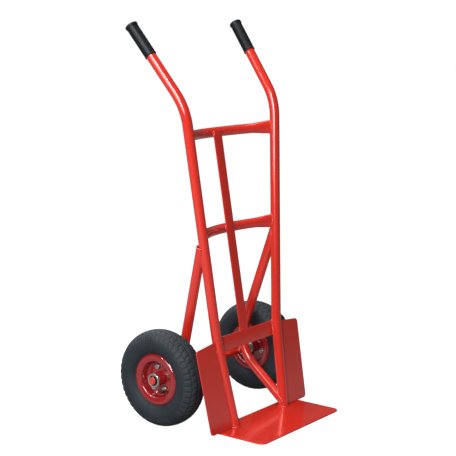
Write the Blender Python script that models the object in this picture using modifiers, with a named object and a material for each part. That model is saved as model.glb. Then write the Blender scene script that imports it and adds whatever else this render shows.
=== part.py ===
"""Two-wheeled hand truck: welded tube frame, toe plate and two pneumatic wheels.

Metres, +Z up. -Y is the front, where the toe plate reaches out, and X runs across.
The origin lies on the floor, midway between the outermost points in X and in Y.
Each wheel hangs on an empty whose local Z is the wheel's axis, pointing outboard.
"""
import math

import bmesh
import bpy
from mathutils import Matrix, Vector

# ---------------------------------------------------------------- driving dimensions
GAP = 0.0003                       # clearance between pieces that touch

# wheels and axle
TYRE_RADIUS = 0.130                # 3.00-4 pneumatic tyre, 260 mm across
WHEEL_X = 0.2075                   # wheel centre plane to the truck's centre plane
AXLE_Y = 0.091
AXLE_RADIUS = 0.010
AXLE_END_X = 0.250
AXLE_CHAMFER = 0.0012

# frame tubes (right side; the left side mirrors it)
TUBE_RADIUS = 0.0135
TUBE_WALL = 0.002
FOOT = (0.1114, -0.0799, 0.0)      # where the leg's centreline would meet the floor
KNEE = (0.1347, -0.0355, 0.239)
HANDLE_BEND = (0.1942, 0.0173, 0.847)
HANDLE_END = (0.2208, 0.1764, 1.0564)
KNEE_BEND_RADIUS = 0.30
HANDLE_BEND_RADIUS = 0.16

# toe plate
PLATE_WIDTH = 0.360
PLATE_DEPTH = 0.174
PLATE_THICKNESS = 0.004
PLATE_CORNER = 0.019
PLATE_FRONT_Y = -(AXLE_Y + TYRE_RADIUS)   # as far forward as the tyres reach back

# crossbars, bowed backwards, with their ends pressed flat
BAR_RADIUS = 0.0135
BAR_WALL = 0.002
UPPER_BAR_Z = 0.7725
MIDDLE_BAR_Z = 0.5145
FLAT_HALF_HEIGHT = 0.0185
FLAT_HALF_THICKNESS = 0.0080
FLAT_LENGTH = 0.006
SQUEEZE_LENGTH = 0.062             # from the flat end to the full round section

# centre strut and lower cross plate, both flat bar
STRUT_WIDTH = 0.033
STRUT_THICKNESS = 0.004
STRUT_BOTTOM_Z = 0.206
STRUT_TOP_Z = 0.772
STRUT_SLOPE = 0.1705               # backward run per metre of height
STRUT_Y_AT_FLOOR = -0.0646
STRUT_SEAT = 0.0009                # gap to a crossbar, whose bow comes forward at the strut's edges
CROSS_HEIGHT = 0.040
CROSS_THICKNESS = 0.005
CROSS_Z = 0.219

# rear braces
BRACE_RADIUS = 0.0135
BRACE_WALL = 0.002
BRACE_TOP = (0.1616, -0.0070, 0.4850)
BRACE_BEND = (0.1270, 0.0925, 0.1455)
BRACE_FOOT = (0.1115, -0.0820, 0.0145)
BRACE_BEND_RADIUS = 0.106

# wheel guards, as corners (x, z) on the plane of the lower legs
GUARD_THICKNESS = 0.003
GUARD_CORNERS = ((0.105, 0.0045), (0.2165, 0.0045), (0.2285, 0.2265), (0.125, 0.2370))
GUARD_CORNER_RADIUS = 0.011
GUARD_FORWARD = 0.003              # the guards stand this far in front of the legs' centres

# handle grips
GRIP_LENGTH = 0.101
GRIP_RADIUS = 0.0155
GRIP_FLANGE_RADIUS = 0.0172
GRIP_CAP = 0.004

# wheel parts, radii from the wheel's axis and heights from its centre plane
HUB_RADIUS = 0.0185
HUB_BORE = 0.0165
HUB_HALF = 0.0355
CAP_RADIUS = 0.0193
CAP_BORE = 0.0137
CAP_FACE = 0.0371
CAP_SKIRT = 0.0310
RACE_BACK = 0.0262
OUTER_RACE_FACE = 0.0351
OUTER_RACE_BORE = 0.0143
INNER_RACE_RADIUS = 0.0124
INNER_RACE_FACE = 0.0369
CLIP_THICKNESS = 0.0012
CLIP_RADIUS = 0.0130
CLIP_GROOVE_RADIUS = 0.0094
SPACER_RADIUS = 0.0140
SPACER_INNER_X = 0.1425
RIM_SHEET = 0.0020
RIM_BOLT_CIRCLE = 0.0315
RIM_BOLT_ANGLE = math.radians(23)
RIM_BOLTS = 4
BOLT_RADIUS = 0.004
BOLT_HEAD_ACROSS = 0.013
BOLT_HEAD_HEIGHT = 0.0053
NUT_HEIGHT = 0.0065
BOLT_TAIL = 0.0105
TUBE_CENTRE_RADIUS = 0.088
TUBE_HALF_RADIAL = 0.030
TUBE_HALF_AXIAL = 0.025
TUBE_SHEET = 0.002
VALVE_RADIUS = 0.004
VALVE_ANGLE = math.radians(-135)
VALVE_Z = 0.0095
VALVE_CAP_RADIUS = 0.0046

# facets
ROUND_STEPS = 28                   # tyre
RIM_STEPS = 24
HUB_STEPS = 20
PIN_STEPS = 12
TUBE_RESOLUTION = 4                # 12 sides on a bevelled curve
BEND_STEP = math.radians(8)

SIDES = (("left", -1), ("right", 1))

# ---------------------------------------------------------------- scene and materials
for old in list(bpy.data.objects):
    bpy.data.objects.remove(old, do_unlink=True)

parts = bpy.data.collections.new("hand_truck")
bpy.context.scene.collection.children.link(parts)
cutters = bpy.data.collections.new("cutters")
bpy.context.scene.collection.children.link(cutters)


def make_material(name, colour, roughness, metallic):
    """A Principled material of one colour."""
    material = bpy.data.materials.new(name)
    material.use_nodes = True
    shader = material.node_tree.nodes["Principled BSDF"]
    shader.inputs["Base Color"].default_value = (*colour, 1.0)
    shader.inputs["Roughness"].default_value = roughness
    shader.inputs["Metallic"].default_value = metallic
    return material


RED = make_material("red_powder_coat", (0.72, 0.022, 0.014), 0.28, 0.0)
RIM_RED = make_material("red_wheel_enamel", (0.55, 0.020, 0.018), 0.25, 0.0)
TYRE_RUBBER = make_material("tyre_rubber", (0.028, 0.031, 0.034), 0.75, 0.0)
GRIP_VINYL = make_material("black_grip_vinyl", (0.024, 0.028, 0.030), 0.60, 0.0)
TUBE_RUBBER = make_material("inner_tube_rubber", (0.015, 0.015, 0.015), 0.80, 0.0)
ZINC = make_material("zinc_plate", (0.62, 0.62, 0.60), 0.35, 1.0)
STEEL = make_material("bearing_steel", (0.45, 0.45, 0.46), 0.30, 1.0)
PHOSPHATE = make_material("black_phosphate", (0.03, 0.03, 0.03), 0.45, 0.8)
BRASS = make_material("valve_brass", (0.60, 0.45, 0.20), 0.35, 1.0)
CAP_PLASTIC = make_material("valve_cap_plastic", (0.02, 0.02, 0.02), 0.50, 0.0)


# ---------------------------------------------------------------- building blocks
def add_object(name, data, material=None, collection=parts):
    """Links a mesh or curve as a named object with one material."""
    item = bpy.data.objects.new(name, data)
    collection.objects.link(item)
    if material is not None:
        data.materials.clear()
        data.materials.append(material)
    return item


def add_cutter(name, data):
    """Links a helper that other pieces are cut or joined with."""
    item = add_object(name, data, collection=cutters)
    item.hide_render = True
    item.display_type = "WIRE"
    return item


def cut(item, cutter, operation="DIFFERENCE"):
    """Cuts a piece with a cutter, or joins the two."""
    boolean = item.modifiers.new(operation.lower(), "BOOLEAN")
    boolean.operation = operation
    boolean.object = cutter


def bake(item):
    """The object's evaluated mesh, with loose caps welded; the object is removed."""
    bpy.context.view_layer.update()
    evaluated = item.evaluated_get(bpy.context.evaluated_depsgraph_get())
    mesh = bpy.data.meshes.new_from_object(evaluated)
    mesh.transform(item.matrix_world)
    welded = bmesh.new()
    welded.from_mesh(mesh)
    bmesh.ops.remove_doubles(welded, verts=welded.verts, dist=1e-6)
    welded.to_mesh(mesh)
    welded.free()
    bpy.data.objects.remove(item, do_unlink=True)
    return mesh


def mirrored(point, side):
    """A right-side point on the given side: side is 1 or -1."""
    return Vector((side * point[0], point[1], point[2]))


def fillet_path(corners, radius_of):
    """A polyline through the corners, each inner corner rounded to its radius."""
    points = [Vector(corners[0])]
    for index in range(1, len(corners) - 1):
        corner = Vector(corners[index])
        back = (Vector(corners[index - 1]) - corner).normalized()
        ahead = (Vector(corners[index + 1]) - corner).normalized()
        turn = math.pi - back.angle(ahead)
        radius = radius_of[index - 1]
        start = corner + back * radius * math.tan(turn / 2)
        middle = corner + (back + ahead).normalized() * radius / math.cos(turn / 2)
        axis = back.cross(ahead).normalized()
        steps = max(2, round(turn / BEND_STEP))
        for step in range(steps + 1):
            spin = Matrix.Rotation(-turn * step / steps, 3, axis)
            points.append(middle + spin @ (start - middle))
    points.append(Vector(corners[-1]))
    return points


def bent_rod(points, radius, capped, resolution=TUBE_RESOLUTION):
    """The mesh of a round rod along a polyline; uncapped, it is an open surface."""
    curve = bpy.data.curves.new("rod", "CURVE")
    curve.dimensions = "3D"
    curve.bevel_depth = radius
    curve.bevel_resolution = resolution
    curve.use_fill_caps = capped
    spline = curve.splines.new("POLY")
    spline.points.add(len(points) - 1)
    for place, point in zip(spline.points, points):
        place.co = (*point, 1.0)
    return bake(add_object("rod", curve))


def tube(name, mesh, wall, material):
    """A hollow tube with open ends, its wall inside the given surface."""
    item = add_object(name, mesh, material)
    solidify = item.modifiers.new("wall", "SOLIDIFY")
    solidify.thickness = wall
    solidify.offset = -1.0
    solidify.use_even_offset = True
    item.data.shade_smooth()
    return item


def flat_bar(name, width, depth, height, material):
    """A rectangular bar centred on its own origin."""
    block = bmesh.new()
    bmesh.ops.create_cube(block, size=1.0)
    bmesh.ops.scale(block, vec=(width, depth, height), verts=block.verts)
    mesh = bpy.data.meshes.new(name)
    block.to_mesh(mesh)
    block.free()
    return add_object(name, mesh, material)


def rounded_outline(corners, radii, steps=5):
    """A closed outline (x, y) with each corner rounded to its radius; 0 stays sharp."""
    outline = []
    count = len(corners)
    for index, radius in enumerate(radii):
        corner = Vector(corners[index])
        back = (Vector(corners[index - 1]) - corner).normalized()
        ahead = (Vector(corners[(index + 1) % count]) - corner).normalized()
        if radius == 0:
            outline.append(corner)
            continue
        turn = math.pi - back.angle(ahead)
        start = corner + back * radius * math.tan(turn / 2)
        middle = corner + (back + ahead).normalized() * radius / math.cos(turn / 2)
        sign = 1 if back.x * ahead.y - back.y * ahead.x < 0 else -1
        for step in range(steps + 1):
            spin = Matrix.Rotation(sign * turn * step / steps, 2)
            outline.append(middle + spin @ (start - middle))
    return outline


def sheet_piece(name, outline, thickness, material):
    """A flat sheet cut to an outline in its own XY plane, centred on it."""
    curve = bpy.data.curves.new(name, "CURVE")
    curve.dimensions = "2D"
    curve.fill_mode = "BOTH"
    curve.extrude = thickness / 2
    spline = curve.splines.new("POLY")
    spline.points.add(len(outline) - 1)
    for place, point in zip(spline.points, outline):
        place.co = (point[0], point[1], 0.0, 1.0)
    spline.use_cyclic_u = True
    return add_object(name, bake(add_object(name, curve)), material)


def turned(profile, steps, closed=False, wall=0.0):
    """A mesh turned about Z from (radius, height) points listed top to bottom outside."""
    mesh = bpy.data.meshes.new("profile")
    edges = [(index, index + 1) for index in range(len(profile) - 1)]
    if closed:
        edges.append((len(profile) - 1, 0))
    mesh.from_pydata([(radius, 0.0, height) for radius, height in profile], edges, [])
    item = add_object("turned", mesh)
    screw = item.modifiers.new("turn", "SCREW")
    screw.steps = steps
    screw.render_steps = steps
    screw.use_merge_vertices = True
    screw.merge_threshold = 1e-6
    if wall > 0:
        solidify = item.modifiers.new("sheet", "SOLIDIFY")
        solidify.thickness = wall
        solidify.offset = 0.0
        solidify.use_even_offset = True
    return bake(item)


def ring(inner, outer, low, high, steps=HUB_STEPS):
    """A plain ring about Z with a rectangular section."""
    section = [(outer, high), (outer, low), (inner, low), (inner, high)]
    return turned(section, steps, closed=True)


def prism(radius, low, high, sides, name="prism"):
    """A capped prism about Z; its radius reaches the corners."""
    shape = bmesh.new()
    lift = Matrix.Translation((0, 0, (low + high) / 2))
    bmesh.ops.create_cone(shape, cap_ends=True, segments=sides, radius1=radius,
                          radius2=radius, depth=high - low, matrix=lift)
    mesh = bpy.data.meshes.new(name)
    shape.to_mesh(mesh)
    shape.free()
    return mesh


# ---------------------------------------------------------------- frame cutters
def leg_y(z):
    """Y of the lower legs' plane at height z."""
    return FOOT[1] + (KNEE[1] - FOOT[1]) * z / KNEE[2]


def side_path(side):
    """Centreline of one side tube, from the floor to the grip's end."""
    corners = [mirrored(point, side) for point in (FOOT, KNEE, HANDLE_BEND, HANDLE_END)]
    return fillet_path(corners, (KNEE_BEND_RADIUS, HANDLE_BEND_RADIUS))


def tube_cutters():
    """Each side tube as a solid rod with clearance, for trimming what is welded to it."""
    found = {}
    for label, side in SIDES:
        mesh = bent_rod(side_path(side), TUBE_RADIUS + GAP, capped=True)
        found[label] = add_cutter("clear_of_tube_" + label, mesh)
    return found


def plate_cutter():
    """A block that ends at the toe plate's top face, for trimming what stands on it."""
    block = bmesh.new()
    bmesh.ops.create_cube(block, size=1.0)
    bmesh.ops.scale(block, vec=(0.6, 0.4, 0.1), verts=block.verts)
    top = PLATE_THICKNESS + GAP
    bmesh.ops.translate(block, vec=(0, -0.05, top - 0.05), verts=block.verts)
    mesh = bpy.data.meshes.new("block")
    block.to_mesh(mesh)
    block.free()
    return add_cutter("clear_of_plate", mesh)


TUBE_CUTTERS = tube_cutters()
PLATE_CUTTER = plate_cutter()


# ---------------------------------------------------------------- frame pieces
def side_tubes():
    """Two tubes from the toe plate up to the handles, bent at the knee and the handle."""
    for label, side in SIDES:
        path = side_path(side)
        along = (path[-1] - path[-2]).normalized()
        path[-1] = path[-1] - along * (GRIP_CAP + GAP)
        below = (path[0] - path[1]).normalized()
        path[0] = path[0] + below * 0.01
        mesh = bent_rod(path, TUBE_RADIUS, capped=False)
        cut(tube("side_tube_" + label, mesh, TUBE_WALL, RED), PLATE_CUTTER)


def grips():
    """Moulded grips: blind sleeves with a rolled flange at the outer end."""
    bore = TUBE_RADIUS + GAP
    top = GRIP_LENGTH
    profile = [(0.0, top), (0.0105, top - 0.0006), (0.0150, top - 0.0024),
               (GRIP_FLANGE_RADIUS, top - 0.0050), (GRIP_FLANGE_RADIUS, top - 0.0085),
               (GRIP_RADIUS, top - 0.0120), (GRIP_RADIUS, 0.0015), (GRIP_RADIUS - 0.001, 0.0),
               (bore, 0.0), (bore, top - GRIP_CAP), (0.0, top - GRIP_CAP)]
    mesh = turned(profile, 16)
    for label, side in SIDES:
        end = mirrored(HANDLE_END, side)
        along = (end - mirrored(HANDLE_BEND, side)).normalized()
        grip = add_object("grip_" + label, mesh, GRIP_VINYL)
        grip.rotation_euler = along.to_track_quat("Z", "Y").to_euler()
        grip.location = end - along * GRIP_LENGTH


def strut_y(z):
    """Y of the centre strut's middle plane at height z."""
    return STRUT_Y_AT_FLOOR + STRUT_SLOPE * z


def tube_centre(z):
    """Centreline point of the right side tube at height z, between knee and handle bend."""
    share = (z - KNEE[2]) / (HANDLE_BEND[2] - KNEE[2])
    return Vector(KNEE).lerp(Vector(HANDLE_BEND), share)


def press_flat(mesh, axes_at, end_x):
    """Presses a hollow bar's ends flat and tall; the wall keeps its thickness.

    A point at radius r becomes (r + grow) tall and (r - shrink) thick, so the bore
    closes to a slot. axes_at gives the centreline point, inward normal and up vector.
    """
    for vertex in mesh.vertices:
        distance = end_x - abs(vertex.co.x)
        share = min(1.0, max(0.0, (SQUEEZE_LENGTH - distance) / (SQUEEZE_LENGTH - FLAT_LENGTH)))
        ease = share * share * (3 - 2 * share)
        centre, normal, up = axes_at(vertex.co)
        offset = vertex.co - centre
        rise = offset.dot(up)
        reach = offset.dot(normal)
        rest = offset - up * rise - normal * reach
        radius = math.hypot(rise, reach)
        tall = 1 + ease * (FLAT_HALF_HEIGHT - BAR_RADIUS) / radius
        thin = 1 + ease * (FLAT_HALF_THICKNESS - BAR_RADIUS) / radius
        vertex.co = centre + rest + up * rise * tall + normal * reach * thin


def crossbar(name, height):
    """A round bar bowed backwards in the plane square to the frame, ends pressed flat."""
    end = tube_centre(height)
    rise = Vector(HANDLE_BEND) - Vector(KNEE)
    up = Vector((0, rise.y, rise.z)).normalized()
    back = Vector((0, up.z, -up.y))
    clear = (BAR_RADIUS + STRUT_THICKNESS / 2 + STRUT_SEAT) * math.hypot(1, STRUT_SLOPE)
    bow = (strut_y(height) + clear - end.y) / (back.y - STRUT_SLOPE * back.z)
    radius = (end.x ** 2 + bow ** 2) / (2 * bow)
    middle = Vector((0, end.y, height)) + back * (bow - radius)
    half = math.asin(end.x / radius)
    steps = 14
    path = []
    for step in range(steps + 1):
        turn = half * (2 * step / steps - 1)
        path.append(middle + radius * (math.sin(turn) * Vector((1, 0, 0)) + math.cos(turn) * back))
    mesh = bake(tube("bar", bent_rod(path, BAR_RADIUS, capped=False), BAR_WALL, RED))

    def ring_axes(point):
        spoke = point - middle
        spoke = spoke - up * spoke.dot(up)
        normal = spoke.normalized()
        return middle + normal * radius, normal, up

    press_flat(mesh, ring_axes, end.x)
    bar = add_object(name, mesh, RED)
    for label, _ in SIDES:
        cut(bar, TUBE_CUTTERS[label])


def centre_strut():
    """Flat bar up the middle, in front of the crossbars and behind the cross plate."""
    tilt = math.atan(STRUT_SLOPE)
    length = (STRUT_TOP_Z - STRUT_BOTTOM_Z) / math.cos(tilt)
    strut = flat_bar("centre_strut", STRUT_WIDTH, STRUT_THICKNESS, length, RED)
    middle = (STRUT_TOP_Z + STRUT_BOTTOM_Z) / 2
    strut.location = (0, strut_y(middle), middle)
    strut.rotation_euler = (-tilt, 0, 0)


def lower_cross_plate():
    """Flat bar between the knees, its ends shaped to the side tubes."""
    tilt = math.atan(STRUT_SLOPE)
    step = (STRUT_THICKNESS / 2 + CROSS_THICKNESS / 2 + GAP) / math.cos(tilt)
    cross = flat_bar("lower_cross_plate", 2 * KNEE[0], CROSS_THICKNESS, CROSS_HEIGHT, RED)
    cross.location = (0, strut_y(CROSS_Z) - step, CROSS_Z)
    cross.rotation_euler = (-tilt, 0, 0)
    for label, _ in SIDES:
        cut(cross, TUBE_CUTTERS[label])


def rear_braces():
    """Bent tubes from the middle crossbar's joints back to the axle and down to the toe plate."""
    for label, side in SIDES:
        corners = [mirrored(point, side) for point in (BRACE_TOP, BRACE_BEND, BRACE_FOOT)]
        mesh = bent_rod(fillet_path(corners, (BRACE_BEND_RADIUS,)), BRACE_RADIUS, capped=False)
        brace = tube("rear_brace_" + label, mesh, BRACE_WALL, RED)
        cut(brace, TUBE_CUTTERS[label])
        cut(brace, PLATE_CUTTER)


def toe_plate():
    """Flat plate on the floor with two rounded front corners."""
    half = PLATE_WIDTH / 2
    back = PLATE_FRONT_Y + PLATE_DEPTH
    corners = ((-half, PLATE_FRONT_Y), (half, PLATE_FRONT_Y), (half, back), (-half, back))
    outline = rounded_outline(corners, (PLATE_CORNER, PLATE_CORNER, 0.003, 0.003))
    plate = sheet_piece("toe_plate", outline, PLATE_THICKNESS, RED)
    plate.location = (0, 0, PLATE_THICKNESS / 2)


def wheel_guards():
    """Flat plates outboard of the lower legs that keep the load off the wheels."""
    slope = (KNEE[1] - FOOT[1]) / KNEE[2]
    stretch = math.hypot(1, slope)
    for label, side in SIDES:
        corners = [(side * x, z * stretch) for x, z in GUARD_CORNERS]
        if side < 0:
            corners.reverse()
        sharp = (0, GUARD_CORNER_RADIUS, GUARD_CORNER_RADIUS, 0)
        guard = sheet_piece("wheel_guard_" + label, rounded_outline(corners, sharp),
                            GUARD_THICKNESS, RED)
        guard.location = (0, leg_y(0) - GUARD_FORWARD, 0)
        guard.rotation_euler = (math.pi / 2 - math.atan(slope), 0, 0)
        cut(guard, TUBE_CUTTERS[label])
        cut(guard, PLATE_CUTTER)


def axle():
    """Solid bar across the frame, grooved near each end for the retaining rings."""
    groove_in = WHEEL_X + INNER_RACE_FACE + GAP / 2
    groove_out = groove_in + CLIP_THICKNESS + GAP
    half = [(0.0, AXLE_END_X), (AXLE_RADIUS - AXLE_CHAMFER, AXLE_END_X),
            (AXLE_RADIUS, AXLE_END_X - AXLE_CHAMFER), (AXLE_RADIUS, groove_out),
            (CLIP_GROOVE_RADIUS, groove_out), (CLIP_GROOVE_RADIUS, groove_in),
            (AXLE_RADIUS, groove_in)]
    profile = half + [(radius, -height) for radius, height in reversed(half)]
    bar = add_object("axle", turned(profile, HUB_STEPS), RED)
    bar.location = (0, AXLE_Y, TYRE_RADIUS)
    bar.rotation_euler = (0, math.pi / 2, 0)


# ---------------------------------------------------------------- wheel pieces
FLIP = Matrix.Rotation(math.pi, 4, "X")    # turns an outboard piece into its inboard twin
STAY = Matrix.Identity(4)


def tyre_mesh():
    """Hollow carcass: tread, bulging sidewalls and two beads, open towards the rim."""
    outside = [(0.0532, 0.0222), (0.0655, 0.0246), (0.0706, 0.0276), (0.0800, 0.0360),
               (0.0960, 0.0405), (0.1110, 0.0382), (0.1215, 0.0300), (0.1276, 0.0185),
               (TYRE_RADIUS, 0.0060)]
    inside = [(0.1205, 0.0120), (0.1130, 0.0260), (0.0980, 0.0325), (0.0750, 0.0270),
              (0.0520, 0.0150)]
    section = outside + [(radius, -height) for radius, height in reversed(outside)]
    section += [(radius, -height) for radius, height in reversed(inside)] + inside
    return turned(section, ROUND_STEPS, closed=True)


def rim_mesh(place, with_valve_hole):
    """Half of the split rim: web, drum and bead flange pressed from one sheet.

    The bolt holes are cut where the bolts pass once the half is put in its place.
    """
    middle = GAP / 2 + RIM_SHEET / 2
    bore = HUB_RADIUS + GAP
    profile = [(0.0684, 0.0290), (0.0655, 0.0270), (0.0530, 0.0258), (0.0494, 0.0220),
               (0.0484, 0.0065), (0.0425, middle), (bore, middle)]
    item = add_object("rim", turned(profile, RIM_STEPS, wall=RIM_SHEET))
    holes = []
    for index in range(RIM_BOLTS):
        hole = add_cutter("bolt_hole", prism(BOLT_RADIUS + GAP, -0.01, 0.01, PIN_STEPS))
        hole.matrix_world = place.inverted() @ bolt_place(index)
        holes.append(hole)
    if with_valve_hole:
        holes.append(valve_hole())
    for hole in holes:
        cut(item, hole)
    mesh = bake(item)
    for hole in holes:
        bpy.data.objects.remove(hole, do_unlink=True)
    return mesh


def bolt_place(index):
    """Where a rim bolt's axis stands in the wheel's frame."""
    angle = RIM_BOLT_ANGLE + 2 * math.pi * index / RIM_BOLTS
    reach = Vector((math.cos(angle), math.sin(angle), 0)) * RIM_BOLT_CIRCLE
    return Matrix.Translation(reach)


def valve_path():
    """Valve stem's centreline: in through the rim, then turned outboard."""
    outward = Vector((math.cos(VALVE_ANGLE), math.sin(VALVE_ANGLE), 0))
    corners = [outward * reach + Vector((0, 0, height))
               for reach, height in ((0.066, VALVE_Z), (0.0385, VALVE_Z), (0.0385, 0.0270))]
    return fillet_path(corners, (0.0065,))


def valve_hole():
    """Cutter for the valve stem's hole in the rim and the inner tube."""
    path = valve_path()
    outward = (path[0] - path[1]).normalized()
    rod = bent_rod([path[0] - outward * 0.022, path[0] + outward * 0.004],
                   VALVE_RADIUS + GAP, capped=True)
    return add_cutter("valve_hole", rod)


def inner_tube_mesh():
    """Thin air tube inside the tyre, with the hole that its valve stem fills."""
    steps = 8
    section = []
    for step in range(steps):
        turn = math.pi / 2 - 2 * math.pi * step / steps
        section.append((TUBE_CENTRE_RADIUS + TUBE_HALF_RADIAL * math.cos(turn),
                        TUBE_HALF_AXIAL * math.sin(turn)))
    item = add_object("inner_tube", turned(section, 16, closed=True))
    solidify = item.modifiers.new("wall", "SOLIDIFY")
    solidify.thickness = TUBE_SHEET
    solidify.offset = -1.0
    hole = valve_hole()
    cut(item, hole)
    mesh = bake(item)
    bpy.data.objects.remove(hole, do_unlink=True)
    return mesh


def bearing_cap_mesh():
    """Pressed cap over the hub's end that keeps the bearing in."""
    skirt_bore = HUB_RADIUS + GAP
    face_inside = HUB_HALF + GAP
    section = [(CAP_RADIUS - 0.0008, CAP_FACE), (CAP_RADIUS, CAP_FACE - 0.0008),
               (CAP_RADIUS, CAP_SKIRT), (skirt_bore, CAP_SKIRT), (skirt_bore, face_inside),
               (CAP_BORE, face_inside), (CAP_BORE, CAP_FACE)]
    return turned(section, HUB_STEPS, closed=True)


def bolt_mesh():
    """Hexagon bolt, its head outboard of the two rim webs."""
    seat = GAP / 2 + RIM_SHEET + GAP
    corner = BOLT_HEAD_ACROSS / 2 / math.cos(math.pi / 6)
    bolt = add_object("bolt", prism(corner, seat, seat + BOLT_HEAD_HEIGHT, 6))
    shank = add_cutter("shank", prism(BOLT_RADIUS, -BOLT_TAIL, seat + 0.002, PIN_STEPS))
    cut(bolt, shank, "UNION")
    mesh = bake(bolt)
    bpy.data.objects.remove(shank, do_unlink=True)
    return mesh


def nut_mesh():
    """Hexagon nut inboard of the two rim webs."""
    seat = GAP / 2 + RIM_SHEET + GAP
    corner = BOLT_HEAD_ACROSS / 2 / math.cos(math.pi / 6)
    nut = add_object("nut", prism(corner, -seat - NUT_HEIGHT, -seat, 6))
    hole = add_cutter("hole", prism(BOLT_RADIUS + GAP, -0.02, 0.0, PIN_STEPS))
    cut(nut, hole)
    mesh = bake(nut)
    bpy.data.objects.remove(hole, do_unlink=True)
    return mesh


def retaining_ring_mesh():
    """C-shaped ring in the axle's groove, open over a tenth of a turn."""
    opening = math.radians(36)
    steps = 20
    bore = CLIP_GROOVE_RADIUS + GAP / 2
    outer = []
    inner = []
    for step in range(steps + 1):
        turn = opening / 2 + (2 * math.pi - opening) * step / steps
        outer.append((CLIP_RADIUS * math.cos(turn), CLIP_RADIUS * math.sin(turn)))
        inner.append((bore * math.cos(turn), bore * math.sin(turn)))
    item = sheet_piece("ring", outer + inner[::-1], CLIP_THICKNESS, PHOSPHATE)
    lift = INNER_RACE_FACE + GAP + CLIP_THICKNESS / 2
    mesh = item.data
    mesh.transform(Matrix.Translation((0, 0, lift)))
    bpy.data.objects.remove(item, do_unlink=True)
    return mesh


def wheel_meshes():
    """Meshes of the wheel's pieces in its own frame, with their materials."""
    race = INNER_RACE_FACE
    cap = bearing_cap_mesh()
    outer_race = ring(OUTER_RACE_BORE, HUB_BORE - GAP, RACE_BACK, OUTER_RACE_FACE)
    inner_race = ring(AXLE_RADIUS + GAP, INNER_RACE_RADIUS, RACE_BACK, race)
    valve_tip = valve_path()[-1]
    spacer_low = -(WHEEL_X - SPACER_INNER_X)
    pieces = [
        ("tyre", tyre_mesh(), TYRE_RUBBER, STAY),
        ("inner_tube", inner_tube_mesh(), TUBE_RUBBER, STAY),
        ("rim_outer_half", rim_mesh(STAY, True), RIM_RED, STAY),
        ("rim_inner_half", rim_mesh(FLIP, False), RIM_RED, FLIP),
        ("hub_tube", ring(HUB_BORE, HUB_RADIUS, -HUB_HALF, HUB_HALF), RIM_RED, STAY),
        ("outer_bearing_cap", cap, ZINC, STAY),
        ("inner_bearing_cap", cap.copy(), ZINC, FLIP),
        ("outer_bearing_outer_race", outer_race, STEEL, STAY),
        ("inner_bearing_outer_race", outer_race.copy(), STEEL, FLIP),
        ("outer_bearing_inner_race", inner_race, STEEL, STAY),
        ("inner_bearing_inner_race", inner_race.copy(), STEEL, FLIP),
        ("valve_stem", bent_rod(valve_path(), VALVE_RADIUS, capped=True, resolution=2), BRASS, STAY),
        ("valve_cap", prism(VALVE_CAP_RADIUS, GAP, 0.009, PIN_STEPS), CAP_PLASTIC,
         Matrix.Translation(valve_tip)),
        ("retaining_ring", retaining_ring_mesh(), PHOSPHATE, STAY),
        ("axle_spacer", ring(AXLE_RADIUS + GAP, SPACER_RADIUS, spacer_low, -race - GAP), ZINC, STAY),
    ]
    bolt = bolt_mesh()
    nut = nut_mesh()
    for index in range(RIM_BOLTS):
        pieces.append((f"rim_bolt_{index + 1}", bolt.copy(), ZINC, bolt_place(index)))
        pieces.append((f"rim_nut_{index + 1}", nut.copy(), ZINC, bolt_place(index)))
    return pieces


def wheels():
    """Both wheels from the same pieces, each on an empty on its axis."""
    pieces = wheel_meshes()
    for label, side in SIDES:
        hub = bpy.data.objects.new("wheel_axis_" + label, None)
        parts.objects.link(hub)
        hub.location = (side * WHEEL_X, AXLE_Y, TYRE_RADIUS)
        hub.rotation_euler = (0, side * math.pi / 2, 0)
        for name, mesh, material, place in pieces:
            item = add_object(f"{label}_{name}", mesh, material)
            item.parent = hub
            item.matrix_local = place


# ---------------------------------------------------------------- the hand truck
side_tubes()
grips()
crossbar("upper_crossbar", UPPER_BAR_Z)
crossbar("middle_crossbar", MIDDLE_BAR_Z)
centre_strut()
lower_cross_plate()
rear_braces()
toe_plate()
wheel_guards()
axle()
wheels()
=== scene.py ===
"""Two-wheeled hand truck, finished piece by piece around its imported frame.

Metres, +Z up, -Y the front where the toe plate reaches out.
"""
import math

import bmesh
import bpy
import numpy as np
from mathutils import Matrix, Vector


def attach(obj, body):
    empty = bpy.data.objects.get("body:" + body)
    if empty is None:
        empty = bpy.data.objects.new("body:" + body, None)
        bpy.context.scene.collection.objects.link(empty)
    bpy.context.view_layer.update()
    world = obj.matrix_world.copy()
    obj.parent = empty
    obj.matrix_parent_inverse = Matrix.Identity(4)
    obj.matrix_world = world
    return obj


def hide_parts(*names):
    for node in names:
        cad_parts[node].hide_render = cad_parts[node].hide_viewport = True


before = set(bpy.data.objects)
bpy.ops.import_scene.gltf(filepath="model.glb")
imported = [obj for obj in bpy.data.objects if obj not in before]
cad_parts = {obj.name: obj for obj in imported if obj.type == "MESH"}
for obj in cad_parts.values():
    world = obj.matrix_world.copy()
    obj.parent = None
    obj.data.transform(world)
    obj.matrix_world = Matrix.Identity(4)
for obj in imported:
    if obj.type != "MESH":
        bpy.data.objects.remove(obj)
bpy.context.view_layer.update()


# ---- side tubes
# Two drawn steel tubes run from the toe plate up to the grips, each bent at the knee
# and again at the handle. They are powder coated in a glossy signal red after welding,
# so the coat runs over the welds and shows a faint orange peel.
SIDES = (("left", -1), ("right", 1))
TUBE_RADIUS = 0.0135
TUBE_WALL = 0.002
WELD_GAP = 0.0003
PLATE_THICKNESS = 0.004
FOOT = (0.1114, -0.0799, 0.0)
KNEE = (0.1347, -0.0355, 0.239)
HANDLE_BEND = (0.1942, 0.0173, 0.847)
HANDLE_END = (0.2208, 0.1764, 1.0564)
KNEE_BEND_RADIUS = 0.30
HANDLE_BEND_RADIUS = 0.16
GRIP_CAP = 0.004
FOOT_OVERRUN = 0.01
FOOT_SEARCH = 0.04  # this far up its line a tube is clear of the plate
AROUND = 48
TUBE_ROWS = 190
COAT_RED = (0.76, 0.031, 0.016)
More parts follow.
